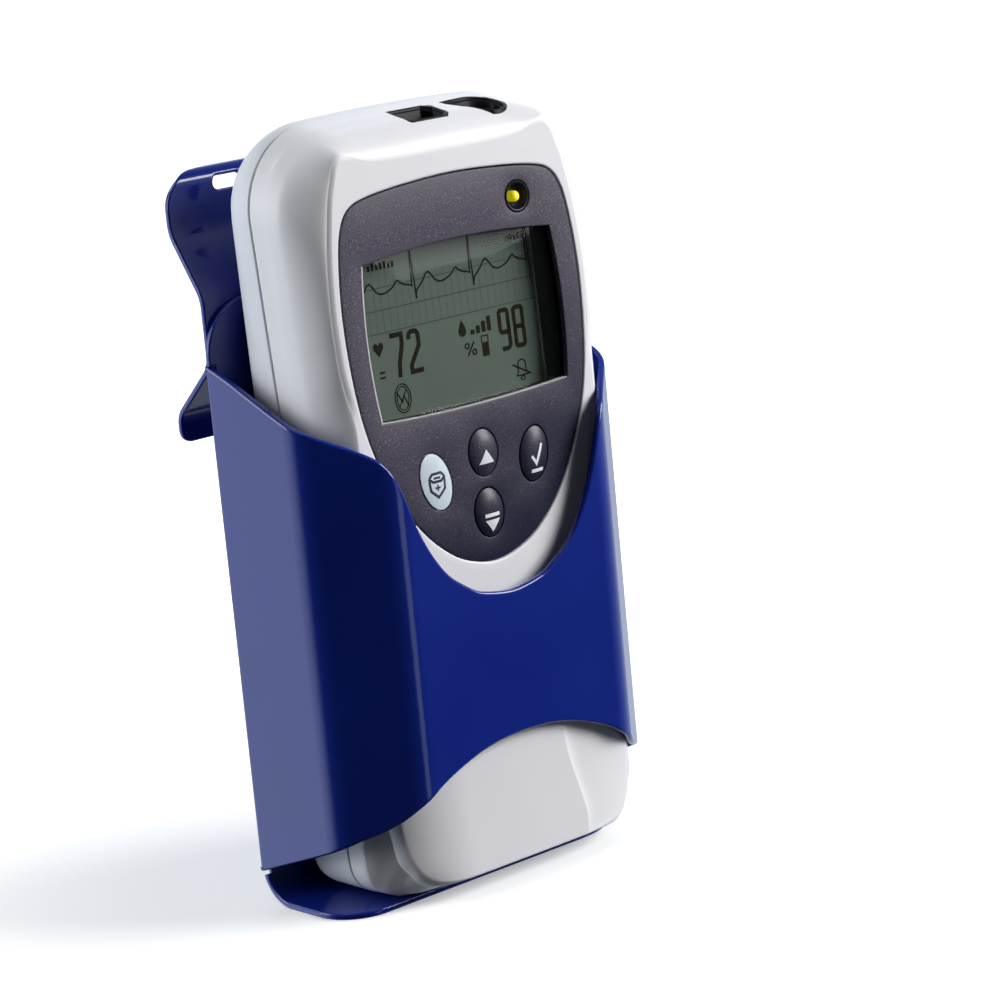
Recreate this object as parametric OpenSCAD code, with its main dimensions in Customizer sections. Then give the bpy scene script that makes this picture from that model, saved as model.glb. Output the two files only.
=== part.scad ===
// Portable patient monitor standing in its sheet-metal cradle.
// Millimetres. +Z up, -Y is the display side, X across.
// Origin: middle of the flat underside of the cradle's shelf.

/* [Cradle] */
// Outside width across the cradle
cradle_w = 99.4; // [99:0.2:104]
// Thickness of the coated steel sheet
sheet_t = 1.5; // [1.2:0.1:1.5]
// Height of the back plate's top edge
plate_top = 143.8; // [140:0.2:148]
// Inside radius of the bend between back plate and shelf
foot_bend_r = 8; // [6:0.5:10]
// Distance from the origin forward to the shelf's front edge
shelf_reach = 11.8; // [10:0.2:14]
// Height of the hook plate's top edge
hook_top = 172.8; // [172:0.2:178]
// Width of the hook plate
hook_w = 97; // [90:0.5:98]
// Centre distance of the two screw slots
slot_pitch = 61; // [56:0.5:64]
// End-to-end length of a screw slot
slot_len = 8.6; // [7.6:0.2:11]
// Width of a screw slot
slot_w = 3.2; // [3.2:0.1:4.2]

/* [Monitor case] */
// Greatest half width of the case, near its top
case_hw_top = 44.5; // [43:0.1:45]
// Half width of the case at its foot
case_hw_foot = 41; // [40:0.1:42]
// Height of the case's top edge
case_top = 183.8; // [182:0.1:185]
// Backward lean of the front face
lean = 2.69; // [2:0.01:3]
// Radius of the two top corners
corner_r = 20; // [16:0.5:21]
// Depth of the front shell, measured square to the front face
shell_depth = 18.25; // [18:0.05:18.3]
// Gap between the two shells, filled by the seal cord
seam_gap = 0.5; // [0.4:0.05:0.6]

/* [Front face] */
// Half width of the display opening at its corners
win_hw = 28.9; // [27:0.1:29.5]
// Lower corner height of the display opening
win_low = 114.5; // [113:0.1:116]
// Upper corner height of the display opening
win_high = 150.6; // [149:0.1:151]
// Depth of the display glass behind the front face
lcd_depth = 6.3; // [6:0.1:6.6]
// Radius of the light well
well_r = 3.7; // [3.2:0.1:3.9]
// Height that the dark buttons stand proud of the fascia
key_proud = 0.9; // [0.5:0.1:1]

/* [Power] */
// Width of the battery pack
batt_w = 58; // [50:0.5:58]
// Height of the battery pack
batt_h = 74; // [60:0.5:74]
// Thickness of the battery pack
batt_t = 12; // [10:0.1:12]

/* [Hidden] */
$fn = 48;

f_y0 = -21.84;              // front face's place at z = 0
back_y = 18;                // front side of the back plate
rear_y = 17;                // rear face of the case
case_bot = 2.25;            // underside of the case, just clear of the shelf
seam_y = shell_depth + seam_gap;
hw = cradle_w / 2;
t = sheet_t;
front_out = -23;            // outside of the wrap's front panel
body_blue = [0.10, 0.14, 0.50];
pearl = [0.82, 0.83, 0.86];
fascia = [0.26, 0.25, 0.33];

function world_front(z) = f_y0 + z * tan(lean);

// ---------- small helpers ----------
// A slab between two depths, from a drawing in x and z.
module ext(y0, y1) translate([0, y1, 0]) rotate([90, 0, 0]) linear_extrude(height = y1 - y0) children();
// The leaning frame of the front face: y counts backward from the face.
module face_frame() translate([0, f_y0, 0]) rotate([-lean, 0, 0]) children();
// A round bar along y.
module bar(x, z, r, y0, y1) translate([x, y0, z]) rotate([-90, 0, 0]) cylinder(r = r, h = y1 - y0);
module bar_cone(x, z, r0, r1, y0, y1) translate([x, y0, z]) rotate([-90, 0, 0]) cylinder(r1 = r0, r2 = r1, h = y1 - y0);
module box(x0, x1, y0, y1, z0, z1) translate([x0, y0, z0]) cube([x1 - x0, y1 - y0, z1 - z0]);

function arc(cx, cz, r, a0, a1, n) = [for (i = [0:n]) let (a = a0 + (a1 - a0) * i / n) [cx + r * cos(a), cz + r * sin(a)]];
function mirror_x(P) = [for (i = [len(P) - 1:-1:0]) [-P[i][0], P[i][1]]];
function cr(a, b, c, d, u) = 0.5 * (2 * b + (c - a) * u + (2 * a - 5 * b + 4 * c - d) * u * u + (3 * b - a - 3 * c + d) * u * u * u);
// Smooth open curve through points.
function smooth(P, n) = let (m = len(P) - 1) concat(
    [for (i = [0:m - 1]) for (k = [0:n - 1]) cr(P[max(i - 1, 0)], P[i], P[i + 1], P[min(i + 2, m)], k / n)], [P[m]]);
// Smooth closed curve through points.
function smooth_loop(P, n) = let (m = len(P)) [for (i = [0:m - 1]) for (k = [0:n - 1])
    cr(P[(i - 1 + m) % m], P[i], P[(i + 1) % m], P[(i + 2) % m], k / n)];
function ell(cx, cz, a, b, rot, n = 40) = [for (i = [0:n - 1]) let (w = 360 * i / n)
    [cx + a * cos(w) * cos(rot) - b * sin(w) * sin(rot), cz + a * cos(w) * sin(rot) + b * sin(w) * cos(rot)]];
function unit(v) = v / norm(v);
// Path with a round bend at each inner point: R holds one radius for each point.
function bend(A, B, C, r, n) = let (u = unit(A - B), v = unit(C - B), cosw = u * v, half = acos(cosw) / 2,
    d = r / tan(half), c = B + unit(u + v) * (r / sin(half)), p = B + u * d, q = B + v * d,
    a0 = atan2(p[1] - c[1], p[0] - c[0]), a1r = atan2(q[1] - c[1], q[0] - c[0]),
    da = (a1r - a0 > 180) ? a1r - a0 - 360 : (a1r - a0 < -180) ? a1r - a0 + 360 : a1r - a0)
    [for (i = [0:n]) c + r * [cos(a0 + da * i / n), sin(a0 + da * i / n)]];
function bent_path(P, R, n = 8) = concat([P[0]], [for (i = [1:len(P) - 2]) for (q = bend(P[i - 1], P[i], P[i + 1], R[i], n)) q], [P[len(P) - 1]]);
function normal_at(P, i) = let (m = len(P) - 1, a = P[max(i - 1, 0)], b = P[i], c = P[min(i + 1, m)],
    u = i > 0 ? unit(b - a) : unit(c - b), v = i < m ? unit(c - b) : u, s = unit(u + v)) [-s[1], s[0]] / (s * u);
// Outline of a sheet of thickness w along a path.
function sheet_outline(P, w) = concat(
    [for (i = [0:len(P) - 1]) P[i] + normal_at(P, i) * w / 2],
    [for (i = [len(P) - 1:-1:0]) P[i] - normal_at(P, i) * w / 2]);

// ---------- case outline ----------
crown_r = 600;
function top_c(wt, top, rt) = top - crown_r + sqrt(pow(crown_r - rt, 2) - pow(wt - rt, 2));
function case_outline(wt, wb, top, bot, rt, rb) = let (zc = top_c(wt, top, rt),
    ae = atan2(zc - (top - crown_r), wt - rt),
    right = concat(arc(wb - rb, bot + rb, rb, -90, 0, 7), arc(wt - rt, zc, rt, 0, ae, 9),
        [for (i = [1:3]) let (a = ae + (90 - ae) * i / 4) [crown_r * cos(a), top - crown_r + crown_r * sin(a)]]))
    concat(right, [[0, top]], mirror_x(right));
module slice(y, wt, wb, top, bot, rt, rb) ext(y, y + 0.02) polygon(case_outline(wt, wb, top, bot, rt, rb));

a_t = case_hw_top;
a_b = case_hw_foot;
module front_form() face_frame() hull() {
    slice(shell_depth - 0.02, a_t, a_b, case_top - 0.2, case_bot + 0.87, corner_r, 9);
    slice(10, a_t - 0.4, a_b - 0.8, case_top - 2.4, case_bot + 0.6, corner_r - 1, 9);
    slice(5, a_t - 2.2, a_b - 4.6, case_top - 4.0, case_bot + 1.3, corner_r - 2, 8);
    slice(2, a_t - 4.2, a_b - 9.0, case_top - 5.6, case_bot + 3.6, corner_r - 3, 8);
    slice(0.9, a_t - 5.1, a_b - 15, case_top - 6.8, case_bot + 6.5, corner_r - 4, 7);
    slice(0, a_t - 5.9, a_b - 12, case_top - 8.6, 60, corner_r - 5, 7);
}
module front_inner() face_frame() hull() {
    slice(shell_depth + 0.4, a_t - 2, a_b - 2, case_top - 2.2, case_bot + 2.87, corner_r - 2, 7);
    slice(10, a_t - 2.3, a_b - 2.7, case_top - 4.6, case_bot + 2.8, corner_r - 3, 7);
    slice(6, a_t - 3.6, a_b - 6.2, case_top - 6.4, case_bot + 4.0, corner_r - 4, 6);
    slice(3.6, a_t - 5.2, a_b - 14, case_top - 8.6, case_bot + 7.5, corner_r - 5, 6);
}
module rear_form() hull() {
    face_frame() slice(seam_y, a_t, a_b, case_top - 0.2, case_bot + 0.9, corner_r, 9);
    slice(8, a_t - 0.1, a_b - 0.1, case_top - 1.0, case_bot, corner_r, 9);
    slice(12, a_t - 1.2, a_b - 1.2, case_top - 2.2, case_bot + 1.0, corner_r - 1, 8);
    slice(15, a_t - 3.6, a_b - 3.6, case_top - 4.8, case_bot + 3.4, corner_r - 4, 7);
    slice(rear_y - 0.02, a_t - 8, a_b - 8, case_top - 9, case_bot + 7.8, corner_r - 7, 5);
}
module rear_inner() hull() {
    face_frame() slice(seam_y - 0.8, a_t - 2, a_b - 2, case_top - 2.2, case_bot + 2.9, corner_r - 2, 7.2);
    slice(8, a_t - 2.1, a_b - 2.1, case_top - 3.0, case_bot + 2, corner_r - 2, 7);
    slice(11.5, a_t - 3.4, a_b - 3.4, case_top - 4.4, case_bot + 3.2, corner_r - 4, 6);
    slice(15 - 0.02, a_t - 8.5, a_b - 8.5, case_top - 9.6, case_bot + 8.3, corner_r - 8, 4);
}

// ---------- front-face layout (x, z on the face) ----------
bezel_half = [[0, 167.2], [14, 166.6], [25, 165.4], [30.6, 163.6], [33.6, 159.4], [35.2, 152], [36.1, 141], [35.8, 129],
    [34.5, 117.5], [32, 107.5], [28, 98.3], [22.8, 90.2], [16.8, 83.8], [9.5, 79], [0, 76.8]];
bezel_loop = smooth_loop(concat(bezel_half, [for (i = [len(bezel_half) - 2:-1:1]) [-bezel_half[i][0], bezel_half[i][1]]]), 4);
win_mid = (win_low + win_high) / 2;
win_half = (win_high - win_low) / 2;
function window_loop(g) = concat(
    [for (i = [0:12]) let (u = -1 + i / 6) [u * (win_hw + g), win_high + g + 1.8 * (1 - u * u)]],
    [for (i = [1:9]) let (u = 1 - i / 5) [win_hw + g + 1.3 * (1 - u * u), win_mid + u * (win_half + g)]],
    [for (i = [0:12]) let (u = 1 - i / 6) [u * (win_hw + g), win_low - g - 1.0 * (1 - u * u)]],
    [for (i = [1:9]) let (u = -1 + i / 5) [-win_hw - g - 1.3 * (1 - u * u), win_mid + u * (win_half + g)]]);
// Buttons: x, z, half width, half height, tilt
key_nurse = [-15.5, 98.4, 4.3, 6.8, 14];
key_select = [15.3, 98.8, 4.2, 6.4, -14];
key_up = [-0.2, 102.2, 4.3, 5.4, 0];
key_down = [-0.6, 88.1, 4.3, 5.6, 0];
keys = [key_nurse, key_select, key_up, key_down];
function key_loop(k, g) = ell(k[0], k[1], k[2] + g, k[3] + g, k[4]);
well_x = 20;
well_z = 158.9;
// Lead sockets in the top edge: x, y behind the face, half sizes
ecg_x = 1.5;
ecg_y = 9.6;
spo2_x = 18.6;
spo2_y = 9.4;
sock_floor = 160;
function ecg_plan(g) = [[-6.6 - g, 4.6 + g], [4.6 + g, 4.6 + g], [6.6 + g, 2.6 + g], [6.6 + g, -2.6 - g], [4.6 + g, -4.6 - g], [-6.6 - g, -4.6 - g]];
module spo2_plan(g) { translate([2, 0]) circle(r = 5.4 + g); translate([-7.2 - g, -5.4 - g]) square([9.2 + g, 10.8 + 2 * g]); }
// Everything below the sloping top edge of the front shell, close to a place x
module below_top(x, d) translate([x, ecg_y, case_top - 2.55 - crown_r + sqrt(crown_r * crown_r - x * x) - d])
    rotate([15.2, asin(x / crown_r), 0]) translate([-60, -60, -60]) cube([120, 140, 60]);

screw_places = [[31, 166], [-31, 166], [36.4, 104], [-36.4, 104], [35, 9.6], [-35, 9.6]];
function seam_world(z) = world_front(z) + seam_y;
keypad_posts = [[-22.3, 106.6], [22.3, 106.6], [-11, 82.5], [11, 82.5]];
standoffs = [[37, 130], [-37, 130], [31, 26], [-31, 26]];
speaker_x = 14;
speaker_z = 157;

// ---------- cradle ----------
foot_mid = foot_bend_r + t / 2;
plate_in = hw - t - 0.12;   // half width of the back plate between the wrap's sides
module cradle_back_plate() color(body_blue) difference() {
    intersection() {
        rotate([90, 0, 90]) translate([0, 0, -hw]) linear_extrude(height = 2 * hw)
            polygon(sheet_outline(bent_path([[back_y + t / 2, plate_top], [back_y + t / 2, t / 2], [-shelf_reach, t / 2]], [0, foot_mid, 0], 10), t));
        ext(-40, 40) union() {
            translate([-hw, -1]) square([2 * hw, 8.2]);
            translate([-plate_in, 0]) square([2 * plate_in, plate_top - 10]);
            translate([-hw, 129.2]) square([2 * hw, plate_top - 13 - 129.2]);
            hull() for (s = [-1, 1]) translate([s * (hw - 13), plate_top - 13]) circle(r = 13);
        }
        translate([0, 0, -1]) linear_extrude(height = 200) difference() {
            union() {
                translate([-hw, -shelf_reach + 11.5]) square([2 * hw, 40]);
                hull() for (s = [-1, 1]) translate([s * (hw - 11.5), -shelf_reach + 11.5]) circle(r = 11.5);
            }
            // the shelf's right front corner is cut back under the monitor's foot
            polygon(concat(smooth([[23.9, -shelf_reach - 0.05], [30, -11.1], [35, -9], [40, -5.5], [44.5, -1], [47.8, 3.8], [hw + 0.05, 9.2]], 3), [[60, 9.2], [60, -20], [23.9, -20]]));
        }
    }
    for (p = rivet_hook) bar(p[0], p[1], rivet_r + 0.05, back_y - 1, back_y + 5);
    for (p = rivet_hook) bar_cone(p[0], p[1], 2.9, rivet_r, back_y - 0.01, back_y + 1.3);
}

// The sides run back to the rear of the back plate and are welded to its edges.
mid_x = hw - t / 2;
mid_front = front_out + t / 2;
wrap_half = [[mid_x, back_y + t], [mid_x - 1.05, -8.6], [32.5, mid_front]];
wrap_path = bent_path(concat(wrap_half, mirror_x(wrap_half)), [0, 9, 9, 9, 9, 0], 8);
view_cut = [[0, 70.1], [4, 70.4], [8.5, 71.5], [13, 73.6], [17.5, 76.7], [21.3, 80.8], [24.5, 86], [26.8, 91.4], [28.6, 95.8], [30.2, 100], [31.8, 103.2], [33.9, 106], [36.9, 108.8], [42.2, 112.4], [46, 115], [51, 118.4]];
foot_cut = [[0, 35.9], [8, 35.4], [15, 34], [21.6, 31.7], [27, 29.2], [30.8, 26.9], [33.8, 25], [36.4, 23.2], [39.4, 21.2], [42.3, 19.8], [46, 18], [51, 15.6]];
module cradle_wrap() color(body_blue) difference() {
    intersection() {
        linear_extrude(height = 135) polygon(sheet_outline(wrap_path, t));
        union() {
            ext(-40, -10) polygon(let (u = smooth(view_cut, 4), d = smooth(foot_cut, 4)) concat(
                mirror_x(u), [for (i = [1:len(u) - 1]) u[i]], [for (i = [len(d) - 1:-1:0]) d[i]], [for (i = [1:len(d) - 1]) [-d[i][0], d[i][1]]]));
            rotate([90, 0, 90]) translate([0, 0, -hw - 1]) linear_extrude(height = 2 * hw + 2)
                polygon([[-10, 18], [back_y + 3, 7.2], [back_y + 3, 129.2], [-10, 115]]);
        }
    }
}

hook_mid = [[32.9, hook_top - t / 2], [29.55, hook_top - t / 2], [29.55, 159], [back_y + t * 1.5, 144.5], [back_y + t * 1.5, 128.5], [33.8, 116], [33.8, 109.6]];
slot_z = 168.8;
module cradle_hook_plate() color(body_blue) difference() {
    intersection() {
        rotate([90, 0, 90]) translate([0, 0, -hook_w / 2]) linear_extrude(height = hook_w)
            polygon(sheet_outline(bent_path(hook_mid, [0, 2.8, 8, 8, 6, 5, 0], 6), t));
        translate([0, 0, 100]) linear_extrude(height = 90) polygon(let (w = hook_w / 2) [[-w, 10], [w, 10], [w, 36], [w - 3, 39], [3 - w, 39], [-w, 36]]);
        ext(10, 50) union() {
            hull() for (s = [-1, 1]) translate([s * (hook_w / 2 - 13), hook_top - 8.6]) scale([1.51, 1]) circle(r = 8.6);
            translate([-hook_w / 2, 112]) square([hook_w, hook_top - 8.6 - 112]);
            hull() for (s = [-1, 1]) translate([s * (hook_w / 2 - 3), 112.6]) circle(r = 3);
        }
    }
    for (s = [-1, 1]) {
        for (e = [-1, 1]) bar(s * slot_pitch / 2 + e * (slot_len - slot_w) / 2, slot_z, slot_w / 2, 25, 32);
        box(s * slot_pitch / 2 - (slot_len - slot_w) / 2, s * slot_pitch / 2 + (slot_len - slot_w) / 2, 25, 32, slot_z - slot_w / 2, slot_z + slot_w / 2);
    }
    for (p = rivet_hook) bar(p[0], p[1], rivet_r + 0.05, back_y, back_y + 8);
}

rivet_r = 1.6;
rivet_hook = [for (x = [-33, -11, 11, 33]) [x, 136.5]];
module cradle_rivets() color([0.16, 0.18, 0.45]) {
    for (p = rivet_hook) {
        bar(p[0], p[1], rivet_r, back_y + 0.05, back_y + 2 * t);
        bar_cone(p[0], p[1], 2.75, rivet_r, back_y + 0.05, back_y + 1.25);
        bar(p[0], p[1], 2.8, back_y + 2 * t, back_y + 2 * t + 0.9);
    }
}
module cradle_shelf_pad() color([0.06, 0.06, 0.07]) translate([0, 0, t]) linear_extrude(height = 0.5)
    polygon(concat(arc(26, 4, 4, 0, 90, 6), arc(-26, 4, 4, 90, 180, 6), arc(-26, -5, 4, 180, 270, 6), arc(26, -5, 4, 270, 360, 6)));

// ---------- case shells ----------
boss_r = 3.2;
module front_housing() color(pearl) difference() {
    union() {
        difference() { front_form(); front_inner(); }
        intersection() {
            front_form();
            union() {
                for (p = screw_places) bar(p[0], p[1], boss_r, seam_world(p[1]) - 16, seam_world(p[1]) - seam_gap);
                face_frame() {
                    for (p = standoffs) bar(p[0], p[1], 2.6, 2, 12);
                    ext(3.4, 4.7) polygon([[-25, 109], [-25, 92], [-14, 80], [14, 80], [25, 92], [25, 109]]);
                    for (p = keypad_posts) bar(p[0], p[1], 1.5, 4.5, 6.9);
                }
            }
        }
    }
    face_frame() {
        ext(-2, 1.8) polygon(smooth_loop(concat([for (p = bezel_half) [p[0] * 1.004, p[1] + (p[1] > 120 ? 0.15 : -0.15)]], [for (i = [len(bezel_half) - 2:-1:1]) let (p = bezel_half[i]) [-p[0] * 1.004, p[1] + (p[1] > 120 ? 0.15 : -0.15)]]), 4));
        box(-33.3, 33.3, 1.5, 2.85, 110.6, 154.8);
        box(-32, 32, 1.5, 6, 111.6, 153.8);
        for (k = keys) ext(1.5, 3.8) polygon(key_loop(k, 1.25));
        for (k = keys) bar(k[0], k[1], 2.35, 1.5, 6);
        bar(well_x, well_z, well_r + 0.1, -1, 6);
        translate([0, 0, 150]) linear_extrude(height = 60) {
            translate([ecg_x, ecg_y]) polygon(ecg_plan(0.1));
            translate([spo2_x, spo2_y]) spo2_plan(0.1);
        }
        for (p = standoffs) bar(p[0], p[1], 1.22, 5, 13);
    }
    for (p = screw_places) bar(p[0], p[1], 1.92, seam_world(p[1]) - 8, seam_world(p[1]) + 1);
}

module rear_housing() color(pearl) difference() {
    union() {
        difference() { rear_form(); rear_inner(); }
        intersection() {
            rear_form();
            union() {
                for (p = screw_places) bar(p[0], p[1], boss_r, seam_world(p[1]), 16);
                box(-9.5, 9.5, 12.4, 16, 97, 113);
            }
        }
        box(-31.2, 31.2, 0.2, 15.2, 12.8, 95.4);
    }
    box(-30, 30, 1.4, 20, 14, 94);
    box(-32, 32, 15.15, 20, 11.6, 98.2);
    box(-7.9, 7.9, 14.4, 20, 99.6, 110.6);
    box(-4.3, 4.3, 14.9, 16.5, 98, 100);
    for (p = screw_places) {
        bar(p[0], p[1], 1.35, seam_world(p[1]) - 4, 16);
        bar(p[0], p[1], 2.3, 11.5, 20);
    }
    bar(speaker_x, speaker_z, 0.9, 12, 20);
    for (i = [0:5]) bar(speaker_x + 3.4 * cos(60 * i), speaker_z + 3.4 * sin(60 * i), 0.9, 12, 20);
    for (i = [0:5]) bar(speaker_x + 6.6 * cos(60 * i + 30), speaker_z + 6.6 * sin(60 * i + 30), 0.9, 12, 20);
}

module housing_gasket() color([0.25, 0.26, 0.28]) face_frame() difference() {
    ext(shell_depth, seam_y) polygon(case_outline(a_t - 0.7, a_b - 0.7, case_top - 0.9, case_bot + 1.6, corner_r - 0.7, 8.3));
    ext(shell_depth - 1, seam_y + 1) polygon(case_outline(a_t - 2, a_b - 2, case_top - 2.2, case_bot + 2.9, corner_r - 2, 7));
}

// ---------- fascia and display ----------
module front_bezel() color(fascia) face_frame() difference() {
    ext(0.15, 1.65) polygon(bezel_loop);
    ext(-1, 3) polygon(window_loop(0));
    for (k = keys) ext(-1, 3) polygon(key_loop(k, 0.3));
    bar(well_x, well_z, well_r + 0.1, -1, 3);
}
module display_window() color([0.75, 0.82, 0.80, 0.35]) face_frame() box(-33.1, 33.1, 1.8, 2.8, 110.8, 154.6);
module lcd_frame() color([0.04, 0.04, 0.05]) face_frame() difference() {
    union() { box(-31.8, 31.8, 2.85, 3.7, 111.8, 153.6); box(-33.6, 33.6, 3.7, 9.4, 109.2, 155.4); }
    ext(2, lcd_depth) polygon(window_loop(0.2));
    box(-29.6, 29.6, lcd_depth - 0.02, 10, 112, 153);
}
module lcd_panel() color([0.42, 0.52, 0.44]) face_frame() box(-29.4, 29.4, lcd_depth, lcd_depth + 1.9, 112.2, 152.8);
module lcd_backlight() color([0.92, 0.93, 0.9]) face_frame() box(-29.4, 29.4, lcd_depth + 1.95, 9.3, 112.2, 152.8);
module lcd_flex() color([0.75, 0.5, 0.15]) face_frame() { box(-9, 9, 9.5, 9.7, 104, 118); box(-9, 9, 9.7, 11.95, 104, 104.2); }

module led_well() color([0.03, 0.03, 0.08]) face_frame() difference() {
    bar(well_x, well_z, well_r, 0.25, 3.6);
    bar_cone(well_x, well_z, well_r - 0.3, 1.5, 0.2, 2.2);
    bar(well_x, well_z, 1.4, 1, 5);
}
module alarm_led() color([0.98, 0.9, 0.05]) face_frame() {
    bar(well_x, well_z, 1.3, 0.9, 5);
    bar_cone(well_x, well_z, 0.8, 1.3, 0.3, 0.9);
}

// ---------- buttons ----------
module key(k, proud) face_frame() {
    ext(-proud * 0.5, 1.75) polygon(key_loop(k, 0));
    ext(-proud, -proud * 0.5) polygon(key_loop(k, -0.9));
    ext(1.9, 2.7) polygon(key_loop(k, 0.9));
    ext(1.74, 1.91) polygon(key_loop(k, 0));
    bar(k[0], k[1], 2, 2.6, 5.42);
}
module nurse_button() color([0.85, 0.9, 0.95]) key(key_nurse, 0.3);
module up_button() color(fascia) key(key_up, key_proud);
module down_button() color(fascia) key(key_down, key_proud);
module select_button() color(fascia) key(key_select, key_proud);

module keypad_mat() color([0.2, 0.2, 0.22]) face_frame() difference() {
    ext(4.75, 5.3) polygon([[-24, 108.9], [-24, 92.5], [-13.5, 81], [13.5, 81], [24, 92.5], [24, 108.9]]);
    for (k = keys) bar(k[0], k[1], 2.4, 4, 6);
    for (p = keypad_posts) bar(p[0], p[1], 1.6, 4, 6);
}
module keypad_board() color([0.06, 0.32, 0.16]) face_frame() ext(6.9, 7.9) polygon([[-24, 108.9], [-24, 92.5], [-13.5, 81], [13.5, 81], [24, 92.5], [24, 108.9]]);
module dome_switches() color([0.85, 0.86, 0.88]) face_frame() for (k = keys) bar_cone(k[0], k[1], 1.6, 3, 6.25, 6.9);

// ---------- electronics ----------
module main_board() color([0.05, 0.35, 0.18]) face_frame() difference() {
    ext(12, 13.6) polygon([[-35, 17], [35, 17], [39.5, 90], [39.5, 152], [34, 157], [-34, 157], [-39.5, 152], [-39.5, 90]]);
    for (s = [-1, 1]) bar(s * 36.4, 104, 4, 10, 16);
    for (p = standoffs) bar(p[0], p[1], 1.35, 10, 16);
}
module board_chips() color([0.12, 0.12, 0.13]) face_frame() {
    box(-20, -4, 13.6, 15, 60, 76);
    box(6, 20, 13.6, 15.2, 62, 74);
    box(-16, 16, 13.6, 15.4, 100, 112);
    box(22, 34, 13.6, 16, 118, 148);
    box(-30, -20, 13.6, 14.8, 84, 92);
    box(10, 22, 10.4, 12, 24, 36);
    box(-22, -10, 10.6, 12, 22, 34);
    box(-8, 8, 9.8, 12, 84, 96);
}
module radio_module() color([0.7, 0.72, 0.74]) face_frame() box(-30, -8, 13.6, 16.4, 118, 150);
module antenna() color([0.8, 0.6, 0.2]) face_frame() ext(14.2, 14.8) polygon([[-26, 150.02], [-16, 150.02], [-16, 170], [-8, 170], [-8, 177], [-22, 177], [-22, 164], [-26, 164]]);

module ecg_socket() color([0.05, 0.05, 0.06]) face_frame() difference() {
    intersection() {
        union() {
            translate([ecg_x, ecg_y, sock_floor + 4]) linear_extrude(height = 30) polygon(ecg_plan(0));
            box(ecg_x - 5, ecg_x + 5, 9.8, 11.98, 149, sock_floor + 6);
        }
        below_top(ecg_x, 0.4);
    }
    translate([ecg_x, ecg_y, sock_floor + 8]) linear_extrude(height = 30) polygon(ecg_plan(-1.3));
}
module ecg_contacts() color([0.85, 0.65, 0.2]) face_frame() for (i = [0:4]) box(ecg_x - 4.4 + 2 * i, ecg_x - 3.6 + 2 * i, ecg_y - 0.4, ecg_y + 0.4, sock_floor + 8, sock_floor + 11);
module spo2_socket() color([0.05, 0.05, 0.06]) face_frame() difference() {
    intersection() {
        union() {
            translate([spo2_x, spo2_y, sock_floor + 4]) linear_extrude(height = 30) spo2_plan(0);
            box(spo2_x - 5, spo2_x + 5, 9.8, 11.98, 149, sock_floor + 6);
        }
        below_top(spo2_x, 0.4);
    }
    translate([spo2_x, spo2_y, sock_floor + 8]) linear_extrude(height = 30) spo2_plan(-1.6);
}
module spo2_contacts() color([0.85, 0.65, 0.2]) face_frame() for (i = [0:3]) for (j = [-1, 1]) box(spo2_x - 4.4 + 2.2 * i, spo2_x - 3.6 + 2.2 * i, spo2_y + 1.3 * j - 0.4, spo2_y + 1.3 * j + 0.4, sock_floor + 8, sock_floor + 11);
module speaker() color([0.15, 0.15, 0.16]) { bar(speaker_x, speaker_z, 10.5, 10.2, 14.95); bar(speaker_x, speaker_z, 6.5, 7, 10.3); }

// ---------- power ----------
batt_z0 = 15;
module battery_pack() color([0.2, 0.22, 0.26]) translate([0, 0, batt_z0]) linear_extrude(height = batt_h) union() {
    translate([-batt_w / 2 + 3, 1.8]) square([batt_w - 6, batt_t]);
    translate([-batt_w / 2, 4.8]) square([batt_w, batt_t - 6]);
    for (s = [-1, 1]) for (y = [4.8, 1.8 + batt_t - 3]) translate([s * (batt_w / 2 - 3), y]) circle(r = 3);
}
module battery_contacts() color([0.85, 0.7, 0.3]) for (i = [-1.5, -0.5, 0.5, 1.5]) box(i * 5 - 1, i * 5 + 1, 5, 9, batt_z0 + batt_h + 0.05, 94);
module battery_door() color(pearl) difference() {
    box(-31.8, 31.8, 15.2, rear_y, 11.8, 98);
    box(-4.4, 4.4, 15, 16.3, 96, 99);
    for (s = [-1, 1]) translate([s * 31.8, 0, 98]) rotate([0, 45, 0]) translate([-1.2, 14, -1.2]) cube([2.4, 4, 2.4]);
    for (s = [-1, 1]) translate([s * 31.8, 0, 11.8]) rotate([0, 45, 0]) translate([-1.2, 14, -1.2]) cube([2.4, 4, 2.4]);
}
module battery_latch() color([0.3, 0.31, 0.34]) difference() {
    union() {
        box(-7.5, 7.5, 14.7, 16.7, 100, 107.6);
        box(-4, 4, 15.2, 16, 96.6, 100.1);
    }
    for (i = [0:3]) box(-5, 5, 16.2, 18, 101.6 + 1.5 * i, 102.3 + 1.5 * i);
}
module rear_label() color([0.93, 0.93, 0.93]) box(-22, 22, rear_y, rear_y + 0.15, 34, 70);

// ---------- fasteners ----------
module case_screws() color([0.75, 0.76, 0.78]) for (p = screw_places) difference() {
    union() {
        bar(p[0], p[1], 2.1, 11.5, 13.3);
        bar(p[0], p[1], 1.2, seam_world(p[1]) - 7, 11.6);
    }
    bar(p[0], p[1], 0.9, 12.3, 14);
}
module screw_inserts() color([0.8, 0.65, 0.3]) for (p = screw_places) difference() {
    bar(p[0], p[1], 1.9, seam_world(p[1]) - 7.6, seam_world(p[1]) - 1);
    bar(p[0], p[1], 1.22, seam_world(p[1]) - 9, seam_world(p[1]));
}
module board_screws() color([0.75, 0.76, 0.78]) face_frame() for (p = standoffs) {
    bar(p[0], p[1], 2.2, 13.6, 15);
    bar(p[0], p[1], 1.2, 6, 13.7);
}

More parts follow.
